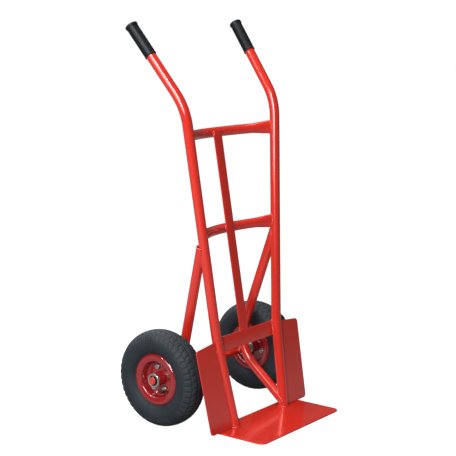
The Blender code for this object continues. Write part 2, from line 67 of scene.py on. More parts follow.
COAT_DEEP_RED = (0.69, 0.025, 0.013)


def on_side(point, side):
    """A right-hand point moved to the given side, -1 left or 1 right."""
    return np.array([side * point[0], point[1], point[2]])


def unit(vectors):
    """Vectors scaled to length one."""
    return vectors / np.linalg.norm(vectors, axis=-1, keepdims=True)


def corner_arc(before, corner, after, radius):
    """The arc that rounds a corner C: how far it turns, T, and its points as a function.

    With unit directions b back and a ahead, the arc of radius R starts at
    C + b R tan(T/2) and its centre is C + unit(a + b) R / cos(T/2); its points are
    centre + R (cos t e1 + sin t e2), with e1 out to the start and e2 = -b.
    """
    back, ahead = unit(before - corner), unit(after - corner)
    turn = math.pi - math.acos(float(back @ ahead))
    start = corner + back * radius * math.tan(turn / 2)
    centre = corner + unit(back + ahead) * radius / math.cos(turn / 2)
    return turn, lambda t: centre + (start - centre) * np.cos(t) - back * radius * np.sin(t)


def bent_line(corners, radii, step=0.01, turn_step=math.radians(2)):
    """Points down a bent centreline, straight runs joined by the arcs at its corners."""
    corners = [np.asarray(corner, float) for corner in corners]
    runs = []
    last = corners[0]
    for before, corner, after, radius in zip(corners, corners[1:], corners[2:], radii):
        turn, arc_at = corner_arc(before, corner, after, radius)
        arc = arc_at(np.linspace(0, turn, max(3, math.ceil(turn / turn_step)) + 1)[:, None])
        count = max(2, math.ceil(np.linalg.norm(arc[0] - last) / step))
        runs.append(last + (arc[0] - last) * np.linspace(0, 1, count, endpoint=False)[:, None])
        runs.append(arc[:-1])
        last = arc[-1]
    count = max(2, math.ceil(np.linalg.norm(corners[-1] - last) / step))
    runs.append(last + (corners[-1] - last) * np.linspace(0, 1, count)[:, None])
    return np.concatenate(runs)


def full_turn(count):
    """Even angles once round a circle, stopping one step short of the first."""
    return np.linspace(0, 2 * math.pi, count, endpoint=False)


def run_lengths(line):
    """Distance run along a line at each of its points."""
    return np.concatenate([[0.0], np.cumsum(np.linalg.norm(np.diff(line, axis=0), axis=1))])


def follow(line, s):
    """The point and unit direction of a line at distance s along it, for any array of s."""
    lengths = run_lengths(line)
    heading = unit(np.gradient(line, lengths, axis=0))
    place = np.stack([np.interp(s, lengths, line[:, k]) for k in range(3)], axis=-1)
    ahead = np.stack([np.interp(s, lengths, heading[:, k]) for k in range(3)], axis=-1)
    return place, unit(ahead)


def carried(line, reference, s, a, b):
    """A profile carried along a line: point = P(s) + a across + b over.

    across is the reference direction with its share along the line taken out, and
    over is the line's direction crossed with it.
    """
    place, ahead = follow(line, s)
    reference = np.asarray(reference, float)
    across = unit(reference - ahead * (ahead @ reference)[..., None])
    over = np.cross(ahead, across)
    return place + a[..., None] * across + b[..., None] * over


def gap_to(points, line, radius):
    """Distance from points to a round bar on a line: nearest segment, less its radius."""
    start = line[:-1]
    step = line[1:] - start
    away = points[..., None, :] - start
    share = np.clip((away * step).sum(-1) / (step * step).sum(-1), 0, 1)
    nearest = away - share[..., None] * step
    return np.sqrt((nearest * nearest).sum(-1)).min(-1) - radius


def meeting(place_at, clear_of, blocked, free, halvings=26):
    """Where each line of a piece leaves what it is welded to, by repeated halving.

    place_at(s) gives the points and clear_of(points) is positive once they are clear.
    """
    for _ in range(halvings):
        middle = (blocked + free) / 2
        clear = clear_of(place_at(middle)) > 0
        free = np.where(clear, middle, free)
        blocked = np.where(clear, blocked, middle)
    return free


def add_piece(name, points, finish, body, stands_for=(), rows_meet=False, marks=None):
    """Makes a piece from a grid of points: rows along it and columns round it.

    Neighbouring points make quads, and the last column meets the first. Unless the last
    row meets the first too, one flat face closes each end. marks are values per point
    that its finish reads.
    """
    rows, columns = points.shape[:2]
    i = np.arange(rows if rows_meet else rows - 1)[:, None]
    j = np.arange(columns)[None, :]
    after_i, after_j = (i + 1) % rows, (j + 1) % columns
    quads = np.stack([i * columns + j, i * columns + after_j,
                      after_i * columns + after_j, after_i * columns + j], axis=-1)
    faces = quads.reshape(-1, 4).tolist()
    if not rows_meet:
        faces.append(list(range(columns)))
        faces.append(list(range((rows - 1) * columns, rows * columns))[::-1])
    mesh = bpy.data.meshes.new(name)
    mesh.from_pydata(points.reshape(-1, 3), [], faces)
    shell = bmesh.new()
    shell.from_mesh(mesh)
    bmesh.ops.recalc_face_normals(shell, faces=shell.faces)
    shell.to_mesh(mesh)
    shell.free()
    mesh.shade_smooth()
    for mark, values in (marks or {}).items():
        layer = mesh.attributes.new(mark, "FLOAT", "POINT")
        layer.data.foreach_set("value", np.broadcast_to(values, (rows, columns)).ravel())
    mesh.materials.append(finish)
    item = bpy.data.objects.new(name, mesh)
    bpy.context.scene.collection.objects.link(item)
    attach(item, body)
    if stands_for:
        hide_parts(*stands_for)


def tube_wall(line, outside, bore, rows):
    """A hollow tube's skin: down the outside from start to end, then back up the bore.

    outside and bore are each (start, end), as distances along the line per column, so
    that the ends can be shaped to what they meet.
    """
    share = np.linspace(0, 1, rows)[:, None]
    s = np.concatenate([outside[0] + (outside[1] - outside[0]) * share,
                        bore[1] + (bore[0] - bore[1]) * share])
    r = np.repeat([TUBE_RADIUS, TUBE_RADIUS - TUBE_WALL], rows)[:, None]
    angle = full_turn(AROUND)
    return carried(line, (1, 0, 0), s, r * np.cos(angle), r * np.sin(angle))


def make_finish(name, base, **sockets):
    """A material whose even values are set on its Principled shader's own sockets."""
    material = bpy.data.materials.new(name)
    material.use_nodes = True
    shader = material.node_tree.nodes["Principled BSDF"]
    shader.inputs["Base Color"].default_value = (*base, 1.0)
    for socket, value in sockets.items():
        shader.inputs[socket.replace("_", " ")].default_value = value
    return material, material.node_tree, shader


def node(tree, kind, **settings):
    """Adds a node and sets its properties, and its inputs where a key is a socket's name."""
    made = tree.nodes.new(kind)
    for key, value in settings.items():
        if hasattr(made, key):
            setattr(made, key, value)
        else:
            made.inputs[key.replace("_", " ")].default_value = value
    return made


def surface_pattern(name, fine, broad, gain=None):
    """A node group of two noises on Object coordinates, for like finishes to share.

    fine and broad are (input that sets the scale, its default, detail, roughness). The
    outputs are Height, the fine noise, Cloud, the broad one, and Haze, which is there
    where a gain is given: the fine noise times the gain, plus the broad one.
    """
    group = bpy.data.node_groups.new(name, "ShaderNodeTree")
    for label, default, _, _ in (fine, broad):
        socket = group.interface.new_socket(label, in_out="INPUT", socket_type="NodeSocketFloat")
        socket.default_value = default
    for label in ("Height", "Cloud", "Haze")[:3 if gain else 2]:
        group.interface.new_socket(label, in_out="OUTPUT", socket_type="NodeSocketFloat")
    start, end = group.nodes.new("NodeGroupInput"), group.nodes.new("NodeGroupOutput")
    place = node(group, "ShaderNodeTexCoord")
    values = []
    for (label, _, detail, rough), result in ((fine, "Height"), (broad, "Cloud")):
        noise = node(group, "ShaderNodeTexNoise", Detail=detail, Roughness=rough)
        group.links.new(place.outputs["Object"], noise.inputs["Vector"])
        group.links.new(start.outputs[label], noise.inputs["Scale"])
        group.links.new(noise.outputs["Fac"], end.inputs[result])
        values.append(noise.outputs["Fac"])
    if gain:
        haze = node(group, "ShaderNodeMath", operation="MULTIPLY_ADD")
        haze.inputs[1].default_value = gain
        group.links.new(values[0], haze.inputs[0])
        group.links.new(values[1], haze.inputs[2])
        group.links.new(haze.outputs[0], end.inputs["Haze"])
    return group


# Sprayed coat: fine orange peel as height, and slow drifts of thickness and gloss.
SPRAYED_COAT = surface_pattern("sprayed coat", ("Peel", 420.0, 1.5, 0.45),
                               ("Drift", 14.0, 3.0, 0.55), 0.35)


def mixed(tree, mask, low, high, target):
    """Blends two colours by a mask and feeds the result to a colour socket.

    low is a colour or another blend's result.
    """
    blend = node(tree, "ShaderNodeMix", data_type="RGBA")
    colours = [socket for socket in blend.inputs if socket.type == "RGBA"]
    if isinstance(low, bpy.types.NodeSocket):
        tree.links.new(low, colours[0])
    else:
        colours[0].default_value = (*low, 1.0)
    colours[1].default_value = (*high, 1.0)
    tree.links.new(mask, blend.inputs["Factor"])
    result = [socket for socket in blend.outputs if socket.type == "RGBA"][0]
    tree.links.new(result, target)
    return result


def ranged(tree, value, low, high, target=None, from_low=0.3, from_high=0.7):
    """Spreads a value over a new range, and feeds it to a socket where one is given."""
    spread = node(tree, "ShaderNodeMapRange", From_Min=from_low, From_Max=from_high,
                  To_Min=low, To_Max=high)
    tree.links.new(value, spread.inputs["Value"])
    if target is not None:
        tree.links.new(spread.outputs["Result"], target)
    return spread.outputs["Result"]


def raised(tree, height, depth, shader):
    """Turns a height into a bump of the given depth on the shader's normal."""
    bump = node(tree, "ShaderNodeBump", Strength=1.0, Distance=depth)
    tree.links.new(height, bump.inputs["Height"])
    tree.links.new(bump.outputs["Normal"], shader.inputs["Normal"])


def sprayed_finish(name, colour, deep, peel, depth, gloss):
    """A sprayed and baked coat: colour drifts with thickness and gloss with the peel,
    under the clear skin that rises to its surface as it flows."""
    material, tree, shader = make_finish(name, colour, IOR=1.60, Coat_Weight=0.8,
                                         Coat_Roughness=0.12)
    coat = node(tree, "ShaderNodeGroup", node_tree=SPRAYED_COAT)
    coat.inputs["Peel"].default_value = peel
    mixed(tree, coat.outputs["Cloud"], deep, colour, shader.inputs["Base Color"])
    ranged(tree, coat.outputs["Haze"], gloss[0], gloss[1], shader.inputs["Roughness"], 0.45, 0.9)
    raised(tree, coat.outputs["Height"], depth, shader)
    return material


POWDER_COAT = sprayed_finish("red powder coat", COAT_RED, COAT_DEEP_RED, 420.0, 0.000002,
                             (0.16, 0.22))


def add_to_frame(name, points, stands_for=(), rows_meet=False):
    """Makes a powder-coated piece of the welded frame."""
    add_piece(name, points, POWDER_COAT, "frame", stands_for, rows_meet)


def tube_line(side):
    """Centreline of one side tube, from just under the plate to the end of the grip."""
    corners = [on_side(point, side) for point in (FOOT, KNEE, HANDLE_BEND, HANDLE_END)]
    corners[0] = corners[0] + unit(corners[0] - corners[1]) * FOOT_OVERRUN
    corners[3] = corners[3] - unit(corners[3] - corners[2]) * (GRIP_CAP + WELD_GAP)
    return bent_line(corners, (KNEE_BEND_RADIUS, HANDLE_BEND_RADIUS))


def above_plate(points):
    """Height of points over the toe plate's top face."""
    return points[..., 2] - PLATE_THICKNESS - WELD_GAP


def round_skin(line, radius):
    """The function of s that gives one point per column on a round bar's skin."""
    angle = full_turn(AROUND)
    return lambda s: carried(line, (1, 0, 0), s, radius * np.cos(angle), radius * np.sin(angle))


TUBE_LINES = {label: tube_line(side) for label, side in SIDES}
WELD_LINES = {}

for label, side in SIDES:
    line = TUBE_LINES[label]
    skin = round_skin(line, TUBE_RADIUS)
    start = meeting(skin, above_plate, np.zeros(AROUND), np.full(AROUND, FOOT_SEARCH))
    ends = (start, np.full(AROUND, run_lengths(line)[-1]))
    add_to_frame(f"{label}_side_tube", tube_wall(line, ends, ends, TUBE_ROWS),
                 [f"side_tube_{label}"], rows_meet=True)
    WELD_LINES[f"{label}_foot"] = skin(start)


# ---- cross tubes
# Two round tubes brace the side tubes. Each is bowed backwards so that a barrel lies
# against it, and its ends are pressed to tall ovals and coped before they are welded.
UPPER_BAR_Z = 0.7725
MIDDLE_BAR_Z = 0.5145
FLAT_HALF_HEIGHT = 0.0185
FLAT_HALF_THICKNESS = 0.0080
FLAT_LENGTH = 0.006
SQUEEZE_LENGTH = 0.062
STRUT_THICKNESS = 0.004
STRUT_SLOPE = 0.1705
STRUT_Y_AT_FLOOR = -0.0646
STRUT_SEAT = 0.0009
BAR_ROWS = 130


def strut_y(z):
    """Y of the centre strut's middle plane at height z."""
    return STRUT_Y_AT_FLOOR + STRUT_SLOPE * z


def bar_arc(height):
    """Axes of a cross tube's bow: (middle, back, up, radius, half angle, end x).

    The bow runs through both side tubes' centrelines and just clears the strut.
    """
    knee, bend = np.array(KNEE), np.array(HANDLE_BEND)
    end = knee + (bend - knee) * (height - knee[2]) / (bend[2] - knee[2])
    up = unit(np.array([0.0, bend[1] - knee[1], bend[2] - knee[2]]))
    back = np.array([0.0, up[2], -up[1]])
    clear = (TUBE_RADIUS + STRUT_THICKNESS / 2 + STRUT_SEAT) * math.hypot(1, STRUT_SLOPE)
    bow = (strut_y(height) + clear - end[1]) / (back[1] - STRUT_SLOPE * back[2])
    radius = (end[0] ** 2 + bow ** 2) / (2 * bow)
    middle = np.array([0.0, end[1], height]) + back * (bow - radius)
    return middle, back, up, radius, math.asin(end[0] / radius), end[0]


def bar_skin(arc, radius):
    """The function of t that gives a pressed cross tube's skin.

    point = middle + (R + thick) n(t) + tall up, with n(t) = sin t across + cos t back.
    Both half sizes ease from the round radius to the flat ones over the squeezed end.
    """
    middle, back, up, bow_radius, _, end_x = arc
    angle = full_turn(AROUND)

    def skin(t):
        spoke = np.sin(t)[..., None] * np.array([1.0, 0, 0]) + np.cos(t)[..., None] * back
        distance = end_x - np.abs(bow_radius * np.sin(t))
        share = np.clip((SQUEEZE_LENGTH - distance) / (SQUEEZE_LENGTH - FLAT_LENGTH), 0, 1)
        ease = share * share * (3 - 2 * share)
        tall = radius + ease * (FLAT_HALF_HEIGHT - TUBE_RADIUS)
        thick = radius + ease * (FLAT_HALF_THICKNESS - TUBE_RADIUS)
        reach = bow_radius + thick * np.cos(angle)
        return middle + reach[..., None] * spoke + (tall * np.sin(angle))[..., None] * up

    return skin


def clear_of_tubes(points):
    """Distance of points to the nearer side tube."""
    return np.minimum(gap_to(points, TUBE_LINES["left"], TUBE_RADIUS + WELD_GAP),
                      gap_to(points, TUBE_LINES["right"], TUBE_RADIUS + WELD_GAP))


for level, height in (("upper", UPPER_BAR_Z), ("middle", MIDDLE_BAR_Z)):
    arc = bar_arc(height)
    tip, middle = np.full(AROUND, arc[4]), np.zeros(AROUND)
    outside, inside = bar_skin(arc, TUBE_RADIUS), bar_skin(arc, TUBE_RADIUS - TUBE_WALL)
    reach_out = meeting(outside, clear_of_tubes, tip, middle)
    reach_in = meeting(inside, clear_of_tubes, tip, middle)
    share = np.linspace(-1, 1, BAR_ROWS)[:, None]
    skin = np.concatenate([outside(share * reach_out), inside(share[::-1] * reach_in)])
    add_to_frame(f"{level}_cross_tube", skin, [f"{level}_crossbar"], rows_meet=True)
    for label, side in SIDES:
        WELD_LINES[f"{level}_bar_{label}"] = outside(side * reach_out)


# ---- centre strut and knee bar
# Two lengths of hot-rolled flat bar with slightly rounded edges: the strut up the middle
# in front of the cross tubes, and the knee bar across the lower legs in front of it.
STRUT_WIDTH = 0.033
STRUT_BOTTOM_Z = 0.206
STRUT_TOP_Z = 0.772
KNEE_BAR_HEIGHT = 0.040
KNEE_BAR_THICKNESS = 0.005
KNEE_BAR_Z = 0.219
BAR_EDGE = 0.0008
FLAT_BAR_ROWS = 40
KNEE_BAR_SEARCH = (0.14, 0.05)  # inside a side tube and clear of it


def bar_section(width, thickness, edge, steps=5):
    """A rounded rectangle as (across, over): quarter circles of the edge's radius."""
    turn = np.linspace(0, math.pi / 2, steps)
    quarters = []
    for quarter, (a, b) in enumerate(((1, 1), (-1, 1), (-1, -1), (1, -1))):
        angle = turn + quarter * math.pi / 2
        quarters.append(np.stack([a * (width / 2 - edge) + edge * np.cos(angle),
                                  b * (thickness / 2 - edge) + edge * np.sin(angle)], axis=-1))
    return np.concatenate(quarters)


def eased_ends(length, edge, rows):
    """Rows along a bar and how far each draws its section in, so its ends are rounded."""
    turn = np.linspace(0, math.pi / 2, 5)
    start = edge * (1 - np.sin(turn))
    draw = edge * (1 - np.cos(turn))
    s = np.concatenate([start[::-1], np.linspace(edge, length - edge, rows)[1:-1],
                        length - start])
    return s, np.concatenate([draw[::-1], np.zeros(rows - 2), draw])


tilt = math.atan(STRUT_SLOPE)
strut_line = np.array([[0, strut_y(STRUT_BOTTOM_Z), STRUT_BOTTOM_Z],
                       [0, strut_y(STRUT_TOP_Z), STRUT_TOP_Z]])
section = bar_section(STRUT_WIDTH, STRUT_THICKNESS, BAR_EDGE)
s, draw = eased_ends(run_lengths(strut_line)[-1], BAR_EDGE, FLAT_BAR_ROWS)
inward = np.sign(section) * draw[:, None, None]
strut = carried(strut_line, (1, 0, 0), s[:, None] + 0 * section[:, 0],
                section[:, 0] - inward[..., 0], section[:, 1] - inward[..., 1])
add_to_frame("centre_flat_bar", strut, ["centre_strut"])

step = (STRUT_THICKNESS / 2 + KNEE_BAR_THICKNESS / 2 + WELD_GAP) / math.cos(tilt)
knee_bar_y = strut_y(KNEE_BAR_Z) - step
section = bar_section(KNEE_BAR_HEIGHT, KNEE_BAR_THICKNESS, BAR_EDGE)
across_bar = np.array([0, math.sin(tilt), math.cos(tilt)])
over_bar = np.array([0, math.cos(tilt), -math.sin(tilt)])
lift = section[:, :1] * across_bar + section[:, 1:] * over_bar


def knee_bar_skin(x):
    """The knee bar's skin: its rounded section moved out along X."""
    middle = np.array([0, knee_bar_y, KNEE_BAR_Z])
    return middle + lift + x[..., None] * np.array([1.0, 0, 0])


in_tube, between = (np.full(len(section), x) for x in KNEE_BAR_SEARCH)
ends = meeting(knee_bar_skin, clear_of_tubes, in_tube, between)
knee_bar = knee_bar_skin(np.linspace(-1, 1, FLAT_BAR_ROWS)[:, None] * ends)
add_to_frame("knee_flat_bar", knee_bar, ["lower_cross_plate"])
for label, side in SIDES:
    WELD_LINES[f"knee_bar_{label}"] = knee_bar_skin(side * ends)


# ---- rear braces
# A bent tube on each side runs from the side tube, just under the middle cross tube, back
# to the axle and then forward to the toe plate. It is coped to the side tube at both ends.
BRACE_TOP = (0.1616, -0.0070, 0.4850)
BRACE_BEND = (0.1270, 0.0925, 0.1455)
BRACE_FOOT = (0.1115, -0.0820, 0.0145)
BRACE_BEND_RADIUS = 0.106
BRACE_SEARCH = ((0.0, 0.4), (1.0, 0.7))  # shares of its length, in the tube and clear of it
BRACE_ROWS = 110
BRACE_LINES = {}


def clear_of_foot(points):
    """Distance of points to the side tubes or the plate, whichever is nearer."""
    return np.minimum(clear_of_tubes(points), above_plate(points))


for label, side in SIDES:
    corners = [on_side(point, side) for point in (BRACE_TOP, BRACE_BEND, BRACE_FOOT)]
    line = bent_line(corners, (BRACE_BEND_RADIUS,))
    BRACE_LINES[label] = line
    length = run_lengths(line)[-1]
    ends = [[meeting(round_skin(line, radius), clear_of_foot,
                     np.full(AROUND, length * blocked), np.full(AROUND, length * free))
             for blocked, free in BRACE_SEARCH]
            for radius in (TUBE_RADIUS, TUBE_RADIUS - TUBE_WALL)]
    add_to_frame(f"{label}_brace_tube", tube_wall(line, *ends, BRACE_ROWS),
                 [f"rear_brace_{label}"], rows_meet=True)
    skin = round_skin(line, TUBE_RADIUS)
    WELD_LINES[f"{label}_brace_top"] = skin(ends[0][0])
    WELD_LINES[f"{label}_brace_foot"] = skin(ends[0][1])


# ---- toe plate and guards
# Sheet steel, cut with rounded corners: the toe plate lies on the floor under the legs,
# and a guard stands outboard of each leg to keep the load off its wheel.
PLATE_WIDTH = 0.360
PLATE_DEPTH = 0.174
PLATE_CORNER = 0.019
PLATE_REAR_CORNER = 0.003
PLATE_FRONT_Y = -0.221
SHEET_EDGE = 0.0007
GUARD_THICKNESS = 0.003
GUARD_CORNERS = ((0.105, 0.0045), (0.2165, 0.0045), (0.2285, 0.2265), (0.125, 0.2370))
GUARD_CORNER_RADIUS = 0.011
GUARD_FORWARD = 0.003
GUARD_SEAM_CORNER = 0.0008
GUARD_SEAM_STEPS = 24
GUARD_SEARCH = (0.118, 0.19)  # inside a side tube and clear of it


def rounded_outline(corners, radii, steps=10):
    """A closed outline whose corners are circular arcs, as in bent_line."""
    corners = np.asarray(corners, float)
    outline = []
    for before, corner, after, radius in zip(np.roll(corners, 1, axis=0), corners,
                                             np.roll(corners, -1, axis=0), radii):
        turn, arc_at = corner_arc(before, corner, after, radius)
        outline.append(arc_at(np.linspace(0, turn, steps)[:, None]))
    return np.concatenate(outline)


def sheet_skin(outline, thickness, edge):
    """A flat sheet with rounded edges, in (x, y, height) about its middle plane.

    Rows go from the top face round the edge to the bottom face; each is the outline
    moved inward by e (1 - cos v) along its normal, at height h + e sin v.
    """
    ahead = unit(np.roll(outline, -1, axis=0) - np.roll(outline, 1, axis=0))
    (x, y), (next_x, next_y) = outline.T, np.roll(outline, -1, axis=0).T
    area = (x * next_y - next_x * y).sum()
    inward = np.stack([-ahead[:, 1], ahead[:, 0]], axis=-1) * (1 if area > 0 else -1)
    v = np.linspace(math.pi / 2, 0, 5)
    inset = np.concatenate([[edge * 1.5], edge * (1 - np.cos(v))])
    height = np.concatenate([[thickness / 2], thickness / 2 - edge + edge * np.sin(v)])
    inset = np.concatenate([inset, inset[::-1]])
    height = np.concatenate([height, -height[::-1]])
    flat = outline + inward * inset[:, None, None]
    return np.concatenate([flat, np.broadcast_to(height[:, None, None], flat.shape[:2] + (1,))],
                          axis=-1)


half = PLATE_WIDTH / 2
rear = PLATE_FRONT_Y + PLATE_DEPTH
corners = ((-half, PLATE_FRONT_Y), (half, PLATE_FRONT_Y), (half, rear), (-half, rear))
radii = (PLATE_CORNER, PLATE_CORNER, PLATE_REAR_CORNER, PLATE_REAR_CORNER)
plate = sheet_skin(rounded_outline(corners, radii), PLATE_THICKNESS, SHEET_EDGE)
plate[..., 2] += PLATE_THICKNESS / 2
add_to_frame("nose_plate", plate, ["toe_plate"])

lean = (KNEE[1] - FOOT[1]) / KNEE[2]
rise = unit(np.array([0.0, lean, 1.0]))
facing = np.array([0.0, rise[2], -rise[1]])
guard_base = np.array([0.0, FOOT[1] - GUARD_FORWARD, 0.0])
stretch = math.hypot(1, lean)
GUARD_SEAMS = {}


def guard_place(x, z, out=0.0):
    """A point of a guard's plane at x and height z, moved out square to the plane."""
    return (guard_base + np.asarray(x)[..., None] * np.array([1.0, 0, 0])
            + (np.asarray(z) * stretch)[..., None] * rise + np.asarray(out)[..., None] * facing)


inner_low, outer_low, outer_high, inner_high = GUARD_CORNERS
for label, side in SIDES:
    z = np.linspace(inner_low[1], inner_high[1], GUARD_SEAM_STEPS)
    in_tube, beyond = (np.full(GUARD_SEAM_STEPS, x) for x in GUARD_SEARCH)
    seam = meeting(lambda x: guard_place(side * x, z), clear_of_tubes, in_tube, beyond)
    GUARD_SEAMS[label] = (seam, z)
    top_slope = (inner_high[1] - outer_high[1]) / (outer_high[0] - inner_high[0])
    seam_top = outer_high[1] + top_slope * (outer_high[0] - seam[-1])
    outer = rounded_outline([(seam[0], inner_low[1]), outer_low, outer_high,
                             (seam[-1], seam_top)],
                            (GUARD_SEAM_CORNER, GUARD_CORNER_RADIUS, GUARD_CORNER_RADIUS,
                             GUARD_SEAM_CORNER))
    inner = np.stack([seam[1:-1], z[1:-1]], axis=-1)[::-1]
    outline = np.concatenate([outer, inner])
    skin = sheet_skin(outline, GUARD_THICKNESS, SHEET_EDGE)
    guard = guard_place(side * skin[..., 0], skin[..., 1], skin[..., 2])
    add_to_frame(f"{label}_guard_plate", guard, [f"wheel_guard_{label}"])


# ---- axle
# One solid round bar carries both wheels. It is chamfered at its ends, grooved for the
# retaining rings, and coated red with the frame.
AXLE_RADIUS = 0.010
AXLE_END_X = 0.250
AXLE_CHAMFER = 0.0012
AXLE_Y = 0.091
AXLE_Z = 0.130
WHEEL_X = 0.2075
RACE_FACE = 0.0369
CLIP_THICKNESS = 0.0012
GROOVE_RADIUS = 0.0094
GROOVE_EDGE = 0.0001
END_FACE_INSET = 0.0008


def polar(r, t, height):
    """Points at radius r and angle t about Z: (r cos t, r sin t, height)."""
    return np.stack([r * np.cos(t), r * np.sin(t), height + 0 * t], axis=-1)


def turned(profile, steps):
    """A profile of (radius, height) turned about Z."""
    profile = np.asarray(profile, float)
    return polar(profile[:, :1], full_turn(steps), profile[:, 1:])


def on_wheel(points, side):
    """Points about a wheel's own axis, Z outboard, moved to that wheel's place."""
    x, y, z = points[..., 0], points[..., 1], points[..., 2]
    return np.stack([side * (WHEEL_X + z), AXLE_Y + y, AXLE_Z - side * x], axis=-1)


groove_in = WHEEL_X + RACE_FACE + WELD_GAP / 2
groove_out = groove_in + CLIP_THICKNESS + WELD_GAP
turn = np.linspace(0, math.pi / 2, 6)
nose = np.stack([AXLE_RADIUS - AXLE_CHAMFER + AXLE_CHAMFER * np.sin(turn),
                 AXLE_END_X - AXLE_CHAMFER + AXLE_CHAMFER * np.cos(turn)], axis=-1)
half = np.concatenate([
    [[AXLE_RADIUS - AXLE_CHAMFER - END_FACE_INSET, AXLE_END_X]], nose,
    [[AXLE_RADIUS, groove_out + GROOVE_EDGE], [AXLE_RADIUS - GROOVE_EDGE, groove_out],
     [GROOVE_RADIUS, groove_out], [GROOVE_RADIUS, groove_in],
     [AXLE_RADIUS - GROOVE_EDGE, groove_in], [AXLE_RADIUS, groove_in - GROOVE_EDGE]]])
profile = np.concatenate([half, half[::-1] * [1, -1]])
bar = turned(profile, 40)
axle = np.stack([bar[..., 2], AXLE_Y + bar[..., 1], AXLE_Z - bar[..., 0]], axis=-1)
add_to_frame("wheel_axle", axle, ["axle"])


# ---- welds
# Every joint is closed by a short arc-welded bead, laid as a row of overlapping puddles
# and painted over with the frame.
BEAD_RADIUS = 0.0021
BEAD_LIFT = 0.0006
PUDDLE = 0.0030
TACK_RADIUS = 0.0019
BEAD_LEANS = (("brace_top", (0.1, 0.35, -1.0)), ("brace_foot", (0, 0.8, 0.6)),
              ("foot", (0, 0, 1)), ("", (1, 0, 0)))
STRUT_TACKS = (UPPER_BAR_Z - 0.0105, MIDDLE_BAR_Z)
STRUT_TACK_HALF = 0.0075
GUARD_TACKS = ((0.012, 0.032), (0.098, 0.124), (0.186, 0.212))
GUARD_FOOT_TACKS = ((0.134, 0.156), (0.168, 0.178))
SADDLE_HALF_WIDTH = 0.0078
SADDLE_HALF_LENGTH = 0.0060
SADDLE_RADIUS = 0.0026


def bead(name, line, reference, radius, closed):
    """A weld bead: a circle carried along its line, swelling once per puddle.

    Its radius is r (0.84 + 0.16 |sin(pi s / puddle)|), and draws in at open ends.
    """
    if closed:
        line = np.concatenate([line, line[:1]])
    length = run_lengths(line)[-1]
    puddles = max(3, round(length / PUDDLE))
    s = np.linspace(0, length, puddles * 7, endpoint=not closed)
    angle = full_turn(12)
    swell = radius * (0.84 + 0.16 * np.abs(np.sin(math.pi * puddles * s / length)))
    if not closed:
        swell = swell * np.clip(1 - np.abs(2 * s / length - 1) ** 7, 0.12, 1)
    swell = swell[:, None]
    points = carried(line, reference, s[:, None] + 0 * angle,
                     swell * np.cos(angle), swell * np.sin(angle))
    add_to_frame(name, points, rows_meet=closed)


def smooth_ring(line, count=160):
    """A closed line read at even distances."""
    loop = np.concatenate([line, line[:1]])
    s = np.linspace(0, run_lengths(loop)[-1], count, endpoint=False)
    return follow(loop, s)[0]


for joint, line in WELD_LINES.items():
    reference = next(lean for ending, lean in BEAD_LEANS if joint.endswith(ending))
    ring = smooth_ring(line)
    if joint.endswith("foot"):
        ring = ring + [0, 0, BEAD_LIFT]
    bead(f"weld_{joint}", ring, reference, BEAD_RADIUS, True)

for label, side in SIDES:
    for level, height in zip(("upper", "middle"), STRUT_TACKS):
        z = height + np.linspace(-STRUT_TACK_HALF, STRUT_TACK_HALF, 12)
        x = np.full(12, side * (STRUT_WIDTH / 2 + 0.0004))
        y = strut_y(z) + STRUT_THICKNESS * 0.45
        bead(f"weld_{level}_strut_{label}", np.stack([x, y, z], axis=-1), (1, 0, 0),
             TACK_RADIUS, False)
z_top = KNEE_BAR_Z + KNEE_BAR_HEIGHT / 2 * math.cos(tilt)
x = np.linspace(-STRUT_WIDTH / 2, STRUT_WIDTH / 2, 20)
y_seat = strut_y(z_top) - STRUT_THICKNESS / 2 - BEAD_LIFT
bead("weld_strut_to_knee_bar",
     np.stack([x, y_seat + 0 * x, z_top + BEAD_LIFT + 0 * x], axis=-1), (0, 0, 1),
     TACK_RADIUS, False)

for label, side in SIDES:
    seam, z_seam = GUARD_SEAMS[label]
    for index, (low, high) in enumerate(GUARD_TACKS, 1):
        z = np.linspace(low, high, 14)
        x = side * (np.interp(z, z_seam, seam) - 0.0002)
        for face, out in (("front", -GUARD_THICKNESS / 2), ("rear", GUARD_THICKNESS / 2)):
            bead(f"weld_{label}_guard_{face}_{index}", guard_place(x, z, np.full(14, out)),
                 (1, 0, 0), TACK_RADIUS, False)
    for index, (start, end) in enumerate(GUARD_FOOT_TACKS, 1):
        x = side * np.linspace(start, end, 12)
        z = np.full(12, PLATE_THICKNESS + 0.0008)
        bead(f"weld_{label}_guard_plate_{index}",
             guard_place(x, z, np.full(12, GUARD_THICKNESS / 2)), (0, 0, 1), TACK_RADIUS, False)

for label, side in SIDES:
    line = BRACE_LINES[label]
    dense, ahead = follow(line, np.linspace(0, run_lengths(line)[-1], 600))
    offset = dense[:, 1:] - np.array([AXLE_Y, AXLE_Z])
    nearest = np.argmin((offset ** 2).sum(-1))
    out = np.array([0.0, *unit(offset[nearest])])
    touch = np.array([dense[nearest, 0], AXLE_Y, AXLE_Z]) + out * (AXLE_RADIUS + 0.0004)
    along_brace = unit(ahead[nearest] - out * (ahead[nearest] @ out))
    t = full_turn(90)
    u, w = SADDLE_HALF_WIDTH * np.cos(t), SADDLE_HALF_LENGTH * np.sin(t)
    swell = (u ** 2 / (2 * TUBE_RADIUS) - w ** 2 / (2 * AXLE_RADIUS)) / 2
    ring = (touch + u[:, None] * np.array([1.0, 0, 0]) + w[:, None] * along_brace
            + swell[:, None] * out)
    bead(f"weld_{label}_axle_saddle", ring, out, SADDLE_RADIUS, True)


